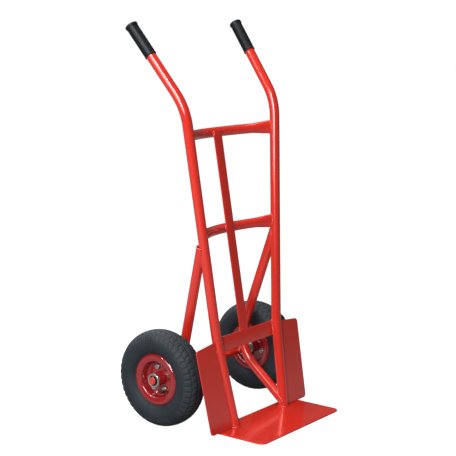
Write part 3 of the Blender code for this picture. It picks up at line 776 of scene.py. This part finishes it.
# ---- handle grips
# Black vinyl sleeves pushed over the tube ends: a closed domed end behind a rolled
# flange, a slightly barrelled body with shallow flutes, and a bead round the mouth.
GRIP_LENGTH = 0.101
GRIP_RADIUS = 0.0155
GRIP_FLANGE = 0.0172
GRIP_FLUTES = 24
FLUTE_DEPTH = 0.00015
VINYL_BLACK = (0.002, 0.004, 0.006)
VINYL_SCUFF = (0.005, 0.009, 0.012)

# Moulded rubber or vinyl: fine leathery grain, and soft blotches of bloom.
MOULDED_GRAIN = surface_pattern("moulded grain", ("Grain", 900.0, 3.0, 0.6),
                                ("Bloom", 40.0, 4.0, 0.6), 0.5)


def moulded_finish(name, dark, light, grain, bloom, depth, gloss, mark=None, raised_tone=None):
    """Moulded rubber or vinyl; where mark is set the piece's own mark picks a third tone."""
    material, tree, shader = make_finish(name, dark, IOR=1.38)
    skin = node(tree, "ShaderNodeGroup", node_tree=MOULDED_GRAIN)
    skin.inputs["Grain"].default_value = grain
    skin.inputs["Bloom"].default_value = bloom
    mask = ranged(tree, skin.outputs["Cloud"], 0.0, 1.0, None, 0.35, 0.7)
    tone = mixed(tree, mask, dark, light, shader.inputs["Base Color"])
    if mark:
        read = node(tree, "ShaderNodeAttribute", attribute_name=mark)
        share = node(tree, "ShaderNodeMath", operation="MULTIPLY")
        tree.links.new(read.outputs["Fac"], share.inputs[0])
        tree.links.new(mask, share.inputs[1])
        mixed(tree, share.outputs[0], tone, raised_tone, shader.inputs["Base Color"])
    ranged(tree, skin.outputs["Haze"], gloss[0], gloss[1], shader.inputs["Roughness"], 0.5, 1.0)
    raised(tree, skin.outputs["Height"], depth, shader)
    return material


GRIP_VINYL = moulded_finish("black grip vinyl", VINYL_BLACK, VINYL_SCUFF, 1100.0, 60.0,
                            0.00003, (0.36, 0.48))


def grip_skin():
    """A grip about Z, from its mouth at 0 to its end: a turned profile with flutes.

    Between the mouth and the flange the radius dips by the flute's depth times the
    square of sin(flutes x angle / 2), faded in and out along the length.
    """
    bore = TUBE_RADIUS + WELD_GAP
    top = GRIP_LENGTH
    dome = np.linspace(0, math.pi / 2, 8)
    z_body = np.linspace(0.0045, top - 0.0125, 40)
    body = np.stack([GRIP_RADIUS + 0.0002 * np.sin(math.pi * z_body / top), z_body], axis=-1)
    outside = np.concatenate([
        [[bore, 0.0002], [GRIP_RADIUS, 0.0]],
        [[GRIP_RADIUS + 0.0005, 0.0006], [GRIP_RADIUS + 0.0006, 0.0018],
         [GRIP_RADIUS + 0.0003, 0.0032]],
        body,
        [[GRIP_RADIUS + 0.0006, top - 0.0108], [GRIP_FLANGE - 0.0003, top - 0.0093],
         [GRIP_FLANGE, top - 0.0080], [GRIP_FLANGE, top - 0.0058]],
        np.stack([0.0006 + (GRIP_FLANGE - 0.0008) * np.cos(dome),
                  top - 0.0048 + 0.0048 * np.sin(dome)], axis=-1)])
    inside = np.array([[0.0006, top - GRIP_CAP], [bore, top - GRIP_CAP], [bore, 0.004]])
    points = turned(np.concatenate([outside, inside]), 144)
    t = full_turn(144)
    z = points[..., 2]
    rows = np.arange(len(points))[:, None]
    fade = np.clip((z - 0.008) / 0.006, 0, 1) * np.clip((top - 0.018 - z) / 0.006, 0, 1)
    fade = fade * (rows < len(outside))
    dip = FLUTE_DEPTH * fade * np.sin(GRIP_FLUTES * t / 2) ** 2
    points[..., 0] -= dip * np.cos(t)
    points[..., 1] -= dip * np.sin(t)
    return points


grip = grip_skin()
for label, side in SIDES:
    end = on_side(HANDLE_END, side)
    along = unit(end - on_side(HANDLE_BEND, side))
    across = unit(np.cross(along, [1.0, 0, 0]))
    over = np.cross(along, across)
    base = end - along * GRIP_LENGTH
    points = base + grip[..., :1] * across + grip[..., 1:2] * over + grip[..., 2:] * along
    add_piece(f"{label}_handle_grip", points, GRIP_VINYL, "frame", [f"grip_{label}"],
              rows_meet=True)


# ---- tyres
# 3.00-4 pneumatic tyres in black rubber: a zigzag centre rib, two rows of moulded lugs
# each side that reach down the shoulder, and a smooth sidewall with fine mould rings.
TYRE_RADIUS = 0.130
TYRE_PITCHES = 46
TREAD_DEPTH = 0.0014
TREAD_HALF = 0.046
RIB_EDGE, RIB_ZIGZAG = 0.15, 0.06  # shares of the tread's half width
ROW_EDGE, ROW_ZIGZAG = 0.56, 0.05
SHOULDER_STEP = 0.0009
MOULD_RINGS = ((0.0900, 0.0006), (0.0775, 0.0005))  # radius and half width
RING_HEIGHT = 0.0004
RING_SOFTNESS = 0.0006
TYRE_ROWS = 150
TYRE_STEPS = 480
RUBBER_BLACK = (0.016, 0.022, 0.028)
RUBBER_GREY = (0.023, 0.031, 0.040)
RUBBER_DUSTY = (0.040, 0.048, 0.054)
TYRE_OUTSIDE = ((0.0532, 0.0222), (0.0655, 0.0246), (0.0706, 0.0276), (0.0800, 0.0360),
                (0.0960, 0.0405), (0.1110, 0.0382), (0.1215, 0.0300), (0.1276, 0.0185),
                (0.1300, 0.0060))
TYRE_INSIDE = ((0.1205, 0.0120), (0.1130, 0.0260), (0.0980, 0.0325), (0.0750, 0.0270),
               (0.0520, 0.0150))


def flowing(points, per_span):
    """A smooth line through points: cubic spans whose slope at a point is half the step
    between its two neighbours, each span read at even parameters."""
    points = np.asarray(points, float)
    before, after = 2 * points[:1] - points[1:2], 2 * points[-1:] - points[-2:-1]
    padded = np.concatenate([before, points, after])
    u = np.linspace(0, 1, per_span, endpoint=False)[None, :, None]
    p0, p1, p2, p3 = (padded[k:len(padded) - 3 + k, None, :] for k in range(4))
    spans = 0.5 * (2 * p1 + (p2 - p0) * u + (2 * p0 - 5 * p1 + 4 * p2 - p3) * u ** 2
                   + (3 * p1 - p0 - 3 * p2 + p3) * u ** 3)
    return np.concatenate([spans.reshape(-1, points.shape[1]), points[-1:]])


def even(line, count):
    """A line read at a number of even distances."""
    lengths = run_lengths(line)
    s = np.linspace(0, lengths[-1], count)
    return np.stack([np.interp(s, lengths, line[:, k]) for k in range(line.shape[1])], axis=-1)


def ridge(distance, half_width, soft):
    """1 inside a band, 0 outside it, with a soft edge."""
    return np.clip((half_width - np.abs(distance)) / soft + 0.5, 0, 1)


def tread_groove(turn, across):
    """How deep the tread is cut, 0 on a lug to 1 in a groove.

    turn counts pitches round the tyre and across runs from -1 to 1 over the tread.
    The cuts are a zigzag either side of the rib, a second zigzag between the lug rows,
    and slanting cuts between lugs, staggered by half a pitch from row to row.
    """
    a = np.abs(across)
    phase = turn + 0.5 * (across > 0)
    zig = np.abs(2 * (phase % 1) - 1)
    zag = np.abs(2 * ((phase + 0.5) % 1) - 1)
    rib_edge = RIB_EDGE + RIB_ZIGZAG * zig
    row_edge = ROW_EDGE + ROW_ZIGZAG * zag
    first = ridge(a - rib_edge, 0.042, 0.03)
    second = 0.9 * ridge(a - row_edge, 0.036, 0.03)
    slant_in = (phase + 0.45 * a) % 1
    slant_out = (phase + 0.5 + 0.25 * a) % 1
    cut_in = ridge(slant_in - 0.5, 0.10, 0.06) * (a > rib_edge) * (a < row_edge)
    cut_out = ridge(slant_out - 0.5, 0.14, 0.06) * (a > row_edge)
    groove = np.maximum.reduce([first, second, cut_in, cut_out])
    return groove * np.clip((1.12 - a) / 0.14, 0, 1)


def tyre_skin():
    """A tyre about Z and its marks: section rows, closed round the inside, by turns.

    The section is moved inward along its normal by the tread's depth, by the step at
    the foot of the shoulder lugs, and out by two fine mould rings on the sidewall.
    """
    outer = flowing(TYRE_OUTSIDE, 12)
    outer[:, 0] = np.minimum(outer[:, 0], TYRE_RADIUS)
    outer = np.concatenate([outer, outer[::-1] * [1, -1]])
    outer = even(outer, TYRE_ROWS)
    inner = flowing(TYRE_INSIDE, 4)
    inner = np.concatenate([inner[::-1], inner * [1, -1]])
    lengths = run_lengths(outer)
    across = (lengths - lengths[-1] / 2) / TREAD_HALF
    ahead = unit(np.gradient(outer, lengths, axis=0))
    normal = np.stack([ahead[:, 1], -ahead[:, 0]], axis=-1)
    normal = normal * np.sign((normal * (outer - [0.09, 0])).sum(-1))[:, None]
    turn = np.arange(TYRE_STEPS) * TYRE_PITCHES / TYRE_STEPS
    groove = tread_groove(turn[None, :], across[:, None])
    a = np.abs(across)[:, None]
    shoulder = np.clip((a - 1.02) / 0.06, 0, 1) * np.clip((1.45 - a) / 0.40, 0, 1)
    r = outer[:, :1]
    rings = sum(ridge(r - radius, half, RING_SOFTNESS) for radius, half in MOULD_RINGS)
    cut = (TREAD_DEPTH * groove + SHOULDER_STEP * shoulder * (1 - groove)
           - RING_HEIGHT * rings * (a > 1.3))
    section = outer[:, None, :] - normal[:, None, :] * cut[..., None]
    hollow = np.broadcast_to(inner[:, None, :], (len(inner), TYRE_STEPS, 2))
    section = np.concatenate([section, hollow])
    points = polar(section[..., 0], full_turn(TYRE_STEPS), section[..., 1])
    lug = (1 - groove) * np.clip((1.15 - a) / 0.1, 0, 1) * np.clip((a - 0.1) / 0.3, 0.3, 1)
    lug = np.concatenate([lug, np.zeros((len(inner), TYRE_STEPS))])
    return points, lug


TYRE_RUBBER = moulded_finish("tyre rubber", RUBBER_BLACK, RUBBER_GREY, 700.0, 26.0, 0.00012,
                             (0.55, 0.75), "lug", RUBBER_DUSTY)


def add_to_wheels(name, points, finish, stands_for=(), rows_meet=True, marks=None):
    """Makes a piece on each wheel from points about the wheel's own axis, Z outboard."""
    for label, side in SIDES:
        add_piece(f"{label}_{name}", on_wheel(points, side), finish, f"wheel_{label}",
                  [f"{label}_{part}" for part in stands_for], rows_meet, marks=marks)


tyre, lug = tyre_skin()
add_to_wheels("pneumatic_tyre", tyre, TYRE_RUBBER, ["tyre"], marks={"lug": lug})


# ---- inner tubes
# Butyl air tubes inside the tyres, out of sight, each with a hole for its valve stem.
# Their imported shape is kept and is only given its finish.
BUTYL = moulded_finish("inner tube butyl", (0.014, 0.014, 0.015), (0.026, 0.026, 0.026),
                       800.0, 30.0, 0.00008, (0.60, 0.80))


def refinish(part, finish):
    """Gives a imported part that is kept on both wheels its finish."""
    for label, _ in SIDES:
        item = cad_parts[f"{label}_{part}"]
        item.data.materials.clear()
        item.data.materials.append(finish)


refinish("inner_tube", BUTYL)


# ---- rims and hubs
# Each rim is two mirrored steel pressings bolted back to back round a short hub tube,
# with a broad rolled flange for the tyre's bead, all enamelled in a deeper glossy red.
RIM_SHEET = 0.0020
HUB_RADIUS = 0.0185
HUB_BORE = 0.0165
HUB_HALF = 0.0355
HUB_EDGE = 0.0004
RIM_CORNERS = ((0.0684, 0.0262), (0.0655, 0.0290), (0.0600, 0.0292), (0.0500, 0.0262),
               (0.0484, 0.0065), (0.0425, 0.00115), (0.0188, 0.00115))
RIM_BENDS = (0.006, 0.012, 0.005, 0.006, 0.004)
ENAMEL_RED = (0.36, 0.012, 0.016)
ENAMEL_DEEP_RED = (0.30, 0.009, 0.012)
RIM_ENAMEL = sprayed_finish("red rim enamel", ENAMEL_RED, ENAMEL_DEEP_RED, 260.0, 0.00001,
                            (0.08, 0.15))


def pressed_section(line, thickness):
    """A closed section round a sheet's middle line: half the thickness to each side
    along its normal, with a half circle round each end."""
    lengths = run_lengths(line)
    ahead = unit(np.gradient(line, lengths, axis=0))
    normal = np.stack([-ahead[:, 1], ahead[:, 0]], axis=-1)
    reach = thickness / 2
    turn = np.linspace(math.pi / 2, -math.pi / 2, 7)[1:-1, None]
    far = line[-1] + reach * (np.cos(turn) * ahead[-1] + np.sin(turn) * normal[-1])
    near = line[0] + reach * (-np.cos(turn) * ahead[0] - np.sin(turn) * normal[0])
    return np.concatenate([line + normal * reach, far, (line - normal * reach)[::-1], near])


rim_middle = bent_line([(r, z, 0.0) for r, z in RIM_CORNERS], RIM_BENDS, 0.002,
                       math.radians(6))[:, :2]
rim_half = turned(pressed_section(rim_middle, RIM_SHEET), 120)
hub = turned([(HUB_BORE, -HUB_HALF), (HUB_RADIUS - HUB_EDGE, -HUB_HALF),
              (HUB_RADIUS, -HUB_HALF + HUB_EDGE), (HUB_RADIUS, HUB_HALF - HUB_EDGE),
              (HUB_RADIUS - HUB_EDGE, HUB_HALF), (HUB_BORE, HUB_HALF)], 64)
for face, flip in (("outer", 1), ("inner", -1)):
    add_to_wheels(f"{face}_rim_pressing", rim_half * [1, 1, flip], RIM_ENAMEL,
                  [f"rim_{face}_half"])
add_to_wheels("hub_barrel", hub, RIM_ENAMEL, ["hub_tube"])


# ---- bearings and axle fittings
# A pressed, zinc-plated cap holds a deep-groove ball bearing in each end of the hub.
# Each wheel is kept on the axle by a black spring ring, and spaced off the brace by a tube.
CAP_RADIUS = 0.0193
CAP_BORE = 0.0137
CAP_FACE = 0.0371
CAP_SKIRT = 0.0310
CAP_EDGE = 0.0016
SEAL_BORE = 0.0126
SEAL_RADIUS = 0.0141
SEAL_Z = 0.0340

# Plated or ground metal: faint turning marks, and cloudy patches of passivation.
PLATED_METAL = surface_pattern("plated metal", ("Marks", 1400.0, 2.0, 0.5),
                               ("Cloud", 120.0, 3.0, 0.6))


def metal_finish(name, dark, light, gloss, depth=0.00001, metallic=1.0):
    """A metal whose tone and gloss drift with the cloudiness of its plating."""
    material, tree, shader = make_finish(name, light, Metallic=metallic)
    skin = node(tree, "ShaderNodeGroup", node_tree=PLATED_METAL)
    mixed(tree, skin.outputs["Cloud"], dark, light, shader.inputs["Base Color"])
    ranged(tree, skin.outputs["Cloud"], gloss[1], gloss[0], shader.inputs["Roughness"])
    raised(tree, skin.outputs["Height"], depth, shader)
    return material


ZINC = metal_finish("zinc plate", (0.50, 0.51, 0.52), (0.78, 0.78, 0.77), (0.22, 0.40))
STEEL = metal_finish("bearing steel", (0.38, 0.38, 0.40), (0.55, 0.55, 0.56), (0.16, 0.30))
SPRING_BLACK = metal_finish("black phosphate", (0.020, 0.020, 0.021), (0.045, 0.045, 0.046),
                            (0.35, 0.55), metallic=0.6)
SEAL_RUBBER = moulded_finish("bearing seal rubber", (0.012, 0.012, 0.013),
                             (0.022, 0.022, 0.023), 1500.0, 90.0, 0.00005, (0.5, 0.7))

turn = np.linspace(0, math.pi / 2, 7)
cap_section = np.concatenate([
    [[CAP_BORE, CAP_FACE - 0.0006], [CAP_BORE + 0.0002, CAP_FACE - 0.0001],
     [CAP_BORE + 0.0008, CAP_FACE]],
    np.stack([CAP_RADIUS - CAP_EDGE + CAP_EDGE * np.sin(turn),
              CAP_FACE - CAP_EDGE + CAP_EDGE * np.cos(turn)], axis=-1),
    [[CAP_RADIUS, CAP_SKIRT + 0.0002], [CAP_RADIUS - 0.0002, CAP_SKIRT],
     [HUB_RADIUS + WELD_GAP, CAP_SKIRT], [HUB_RADIUS + WELD_GAP, HUB_HALF + WELD_GAP],
     [CAP_BORE, HUB_HALF + WELD_GAP]]])
cap = turned(cap_section, 72)
seal = turned([(SEAL_BORE, SEAL_Z), (SEAL_BORE + 0.0002, SEAL_Z + 0.0005),
               (SEAL_RADIUS - 0.0002, SEAL_Z + 0.0005), (SEAL_RADIUS, SEAL_Z),
               (SEAL_RADIUS, SEAL_Z - 0.0006), (SEAL_BORE, SEAL_Z - 0.0006)], 48)
for end, flip in (("outer", 1), ("inner", -1)):
    add_to_wheels(f"{end}_hub_cap", cap * [1, 1, flip], ZINC, [f"{end}_bearing_cap"])
    add_to_wheels(f"{end}_bearing_seal", seal * [1, 1, flip], SEAL_RUBBER)
    refinish(f"{end}_bearing_outer_race", STEEL)
    refinish(f"{end}_bearing_inner_race", STEEL)
refinish("retaining_ring", SPRING_BLACK)
refinish("axle_spacer", ZINC)


# ---- rim bolts
# Four zinc-plated hexagon bolts and nuts clamp each rim's halves together round the hub,
# heads outboard. Threads and turned corners are cut into their shape.
BOLT_CIRCLE = 0.0315
BOLT_ANGLE = math.radians(23)
BOLT_RADIUS = 0.004
BOLT_ACROSS = 0.013
BOLT_HEAD = 0.0053
NUT_HEIGHT = 0.0065
BOLT_TAIL = 0.0105
THREAD_PITCH = 0.00125
THREAD_DEPTH = 0.00035
HEX_CHAMFER = 0.0009
CROWN_SHARE = 0.62
CONE_SHARE = 0.97
CONE_SLOPE = math.tan(math.radians(30))
HEX_STEPS = 72


def hexagon(angle):
    """Radius of a hexagon of the bolt's width across flats, at an angle about its axis."""
    return BOLT_ACROSS / 2 / np.cos((angle + math.pi / 6) % (math.pi / 3) - math.pi / 6)


def hex_rows(heights, crown):
    """Rows of a hexagon whose corners are turned off by a 30 degree cone at its crown:
    the radius is the lesser of the hexagon's and the cone's at that height."""
    t = full_turn(HEX_STEPS)
    cone = BOLT_ACROSS / 2 * CONE_SHARE + np.abs(crown - heights)[:, None] / CONE_SLOPE
    return np.minimum(hexagon(t)[None, :], cone), t


seat = WELD_GAP / 2 + RIM_SHEET + WELD_GAP
heights = np.concatenate([seat + BOLT_HEAD - np.linspace(0, HEX_CHAMFER, 6), [seat]])
r, t = hex_rows(heights, seat + BOLT_HEAD)
crown = polar(CROWN_SHARE * r[:1], t, heights[:1, None])
head = polar(r, t, heights[:, None])
z = np.linspace(seat, -BOLT_TAIL + 0.0006, 110)
thread = BOLT_RADIUS - THREAD_DEPTH * np.abs(2 * ((z / THREAD_PITCH) % 1) - 1) * (z < -seat)
shank = turned(np.concatenate([np.stack([thread, z], axis=-1),
                               [[BOLT_RADIUS - 2 * THREAD_DEPTH, -BOLT_TAIL]]]), HEX_STEPS)
bolt = np.concatenate([crown, head, shank])
heights = np.concatenate([-seat - NUT_HEIGHT + np.linspace(0, HEX_CHAMFER, 6),
                          -seat - np.linspace(HEX_CHAMFER, 0, 6)])
crowns = np.where(heights < -seat - NUT_HEIGHT / 2, -seat - NUT_HEIGHT, -seat)
r, t = hex_rows(heights, crowns)
bore = turned([(BOLT_RADIUS + 0.0006, -seat), (BOLT_RADIUS + WELD_GAP, -seat - 0.0004),
               (BOLT_RADIUS + WELD_GAP, -seat - NUT_HEIGHT + 0.0004),
               (BOLT_RADIUS + 0.0006, -seat - NUT_HEIGHT)], HEX_STEPS)
nut = np.concatenate([polar(r, t, heights[:, None]), bore])
for index in range(4):
    angle = BOLT_ANGLE + index * math.pi / 2
    place = np.array([math.cos(angle), math.sin(angle), 0]) * BOLT_CIRCLE
    add_to_wheels(f"bolt_{index + 1}", bolt + place, ZINC, [f"rim_bolt_{index + 1}"],
                  rows_meet=False)
    add_to_wheels(f"nut_{index + 1}", nut + place, ZINC, [f"rim_nut_{index + 1}"])


# ---- valves
# A bent brass valve stem comes in through the rim's drum and turns outboard in the dish,
# closed by a ribbed black plastic cap.
VALVE_RADIUS = 0.004
VALVE_ANGLE = math.radians(-135)
VALVE_Z = 0.0095
VALVE_ROOT = 0.066
VALVE_BEND_RADIUS = 0.0065
VALVE_TIP = 0.0385
VALVE_TIP_Z = 0.0270
VALVE_CAP_RADIUS = 0.0046
VALVE_FIT = 0.00005
VALVE_THREAD = 0.006
VALVE_THREAD_PITCH = 0.0011
VALVE_THREAD_DEPTH = 0.00022
CAP_RIBS = 16
CAP_RIB_DEPTH = 0.0003
BRASS = metal_finish("valve brass", (0.30, 0.22, 0.11), (0.52, 0.40, 0.20), (0.28, 0.45))
CAP_PLASTIC = moulded_finish("valve cap plastic", (0.014, 0.015, 0.015), (0.024, 0.025, 0.026),
                             1500.0, 90.0, 0.00004, (0.40, 0.55))

out = np.array([math.cos(VALVE_ANGLE), math.sin(VALVE_ANGLE), 0.0])
lift = np.array([0.0, 0.0, 1.0])
stem_line = bent_line([out * VALVE_ROOT + lift * VALVE_Z, out * VALVE_TIP + lift * VALVE_Z,
                       out * VALVE_TIP + lift * VALVE_TIP_Z], (VALVE_BEND_RADIUS,), 0.001)
length = run_lengths(stem_line)[-1]
s = np.linspace(0, length, 150)[:, None]
angle = full_turn(28)
thread = np.abs(2 * ((s / VALVE_THREAD_PITCH) % 1) - 1) * (s > length - VALVE_THREAD)
r = VALVE_RADIUS - VALVE_FIT - VALVE_THREAD_DEPTH * thread
stem = carried(stem_line, np.cross(out, lift), s + 0 * angle, r * np.cos(angle),
               r * np.sin(angle))
t = full_turn(96)
dome = np.linspace(0, math.pi / 2, 7)
cap_profile = np.concatenate([
    [[VALVE_CAP_RADIUS - 0.0004, 0.0], [VALVE_CAP_RADIUS, 0.0004], [VALVE_CAP_RADIUS, 0.0012],
     [VALVE_CAP_RADIUS, 0.0064]],
    np.stack([0.0032 + 0.0012 * np.cos(dome), 0.0072 + 0.0012 * np.sin(dome)], axis=-1)])
cap = turned(cap_profile, 96)
rib = CAP_RIB_DEPTH * np.sin(CAP_RIBS / 2 * t) ** 2
rib = rib * np.clip((cap_profile[:, 1:] - 0.0004) / 0.0008, 0, 1)
cap[..., 0] -= rib * np.cos(t)
cap[..., 1] -= rib * np.sin(t)
cap = cap + out * VALVE_TIP + lift * (VALVE_TIP_Z + WELD_GAP)
add_to_wheels("bent_valve", stem, BRASS, ["valve_stem"], rows_meet=False)
add_to_wheels("dust_cap", cap, CAP_PLASTIC, ["valve_cap"], rows_meet=False)


# ---- floor
# A plain studio floor that runs back out of sight. Seen directly it is white; on the
# truck it throws only the weak light of a grey floor.
FLOOR_REACH = 300.0
FLOOR_GREY = 0.20
FLOOR_GLOW = 0.08
FLOOR_WHITE = 1.00
floor_mesh = bpy.data.meshes.new("floor")
floor_mesh.from_pydata([(x * FLOOR_REACH, y * FLOOR_REACH, 0)
                        for x, y in ((-1, -1), (1, -1), (1, 1), (-1, 1))], [], [(0, 1, 2, 3)])
floor = bpy.data.objects.new("floor", floor_mesh)
bpy.context.scene.collection.objects.link(floor)
floor_paint, floor_tree, floor_shader = make_finish(
    "floor paint", (FLOOR_GREY,) * 3, Roughness=0.9, Emission_Color=(1, 1, 1, 1),
    Specular_IOR_Level=0.0)
floor_ray = node(floor_tree, "ShaderNodeLightPath")
ranged(floor_tree, floor_ray.outputs["Is Camera Ray"], FLOOR_GLOW, FLOOR_WHITE,
       floor_shader.inputs["Emission Strength"], 0.0, 1.0)
floor_mesh.materials.append(floor_paint)


# ---- studio light
# A tall softbox to the camera's left, with a bright core and a wide dim face, a narrow
# strip further round, a broad bank overhead and set back, and a broad fill behind; the
# room itself is dim, and its surround is white where it is seen directly.
LIGHTS = (
    # name, azimuth, distance, height, aim height, width, height of panel, watts
    ("softbox_core", -65.0, 2.60, 1.88, 0.62, 0.38, 1.75, 55.0),
    ("softbox_face", -84.0, 2.64, 1.64, 0.60, 1.60, 1.50, 31.0),
    ("side_strip", -110.0, 2.10, 2.05, 0.25, 0.20, 1.10, 8.0),
    ("overhead_bank", 180.0, 0.90, 3.20, 0.00, 3.00, 3.00, 90.0),
    ("rear_fill", 150.0, 4.00, 2.40, 0.40, 3.00, 3.00, 60.0),
)
ROOM_GLOW = 0.08
ROOM_WHITE = 1.0


def around(azimuth, distance, height):
    """A place round the truck: azimuth 0 is straight in front, positive to its right."""
    turn = math.radians(azimuth)
    return Vector((math.sin(turn) * distance, -math.cos(turn) * distance, height))


for name, azimuth, distance, height, aim, width, tall, watts in LIGHTS:
    data = bpy.data.lights.new(name, "AREA")
    data.shape = "RECTANGLE"
    data.size = width
    data.size_y = tall
    data.energy = watts
    lamp = bpy.data.objects.new(name, data)
    bpy.context.scene.collection.objects.link(lamp)
    lamp.location = around(azimuth, distance, height)
    toward = Vector((0.0, 0.0, aim)) - lamp.location
    lamp.rotation_euler = toward.to_track_quat("-Z", "Y").to_euler()
    lamp.visible_camera = False

room = bpy.data.worlds.new("studio room")
bpy.context.scene.world = room
room.use_nodes = True
room_tree = room.node_tree
surround = room_tree.nodes["Background"]
ray = node(room_tree, "ShaderNodeLightPath")
surround.inputs["Color"].default_value = (1, 1, 1, 1)
ranged(room_tree, ray.outputs["Is Camera Ray"], ROOM_GLOW, ROOM_WHITE,
       surround.inputs["Strength"], 0.0, 1.0)
bpy.context.scene.view_settings.view_transform = "Standard"


# ---- camera
# A long lens at handle height, off the truck's left front corner, turned a little down
# and level from side to side.
LENS = 100.3
SENSOR_WIDTH = 36.0
CAMERA_PLACE = (-2.68035, -2.02921, 1.11094)
CAMERA_YAW = math.radians(-52.47)
CAMERA_PITCH = math.radians(10.08)
camera_data = bpy.data.cameras.new("camera")
camera_data.lens = LENS
camera_data.sensor_width = SENSOR_WIDTH
camera_data.shift_x, camera_data.shift_y = -0.0003, 0.0003
camera = bpy.data.objects.new("camera", camera_data)
bpy.context.scene.collection.objects.link(camera)
camera.location = CAMERA_PLACE
back = Vector((math.sin(CAMERA_YAW) * math.cos(CAMERA_PITCH),
               -math.cos(CAMERA_YAW) * math.cos(CAMERA_PITCH), math.sin(CAMERA_PITCH)))
camera.rotation_euler = back.to_track_quat("Z", "Y").to_euler()
bpy.context.scene.camera = camera


# ---- update
# The view layer is brought up to date, so that every piece stands in its place.
bpy.context.view_layer.update()
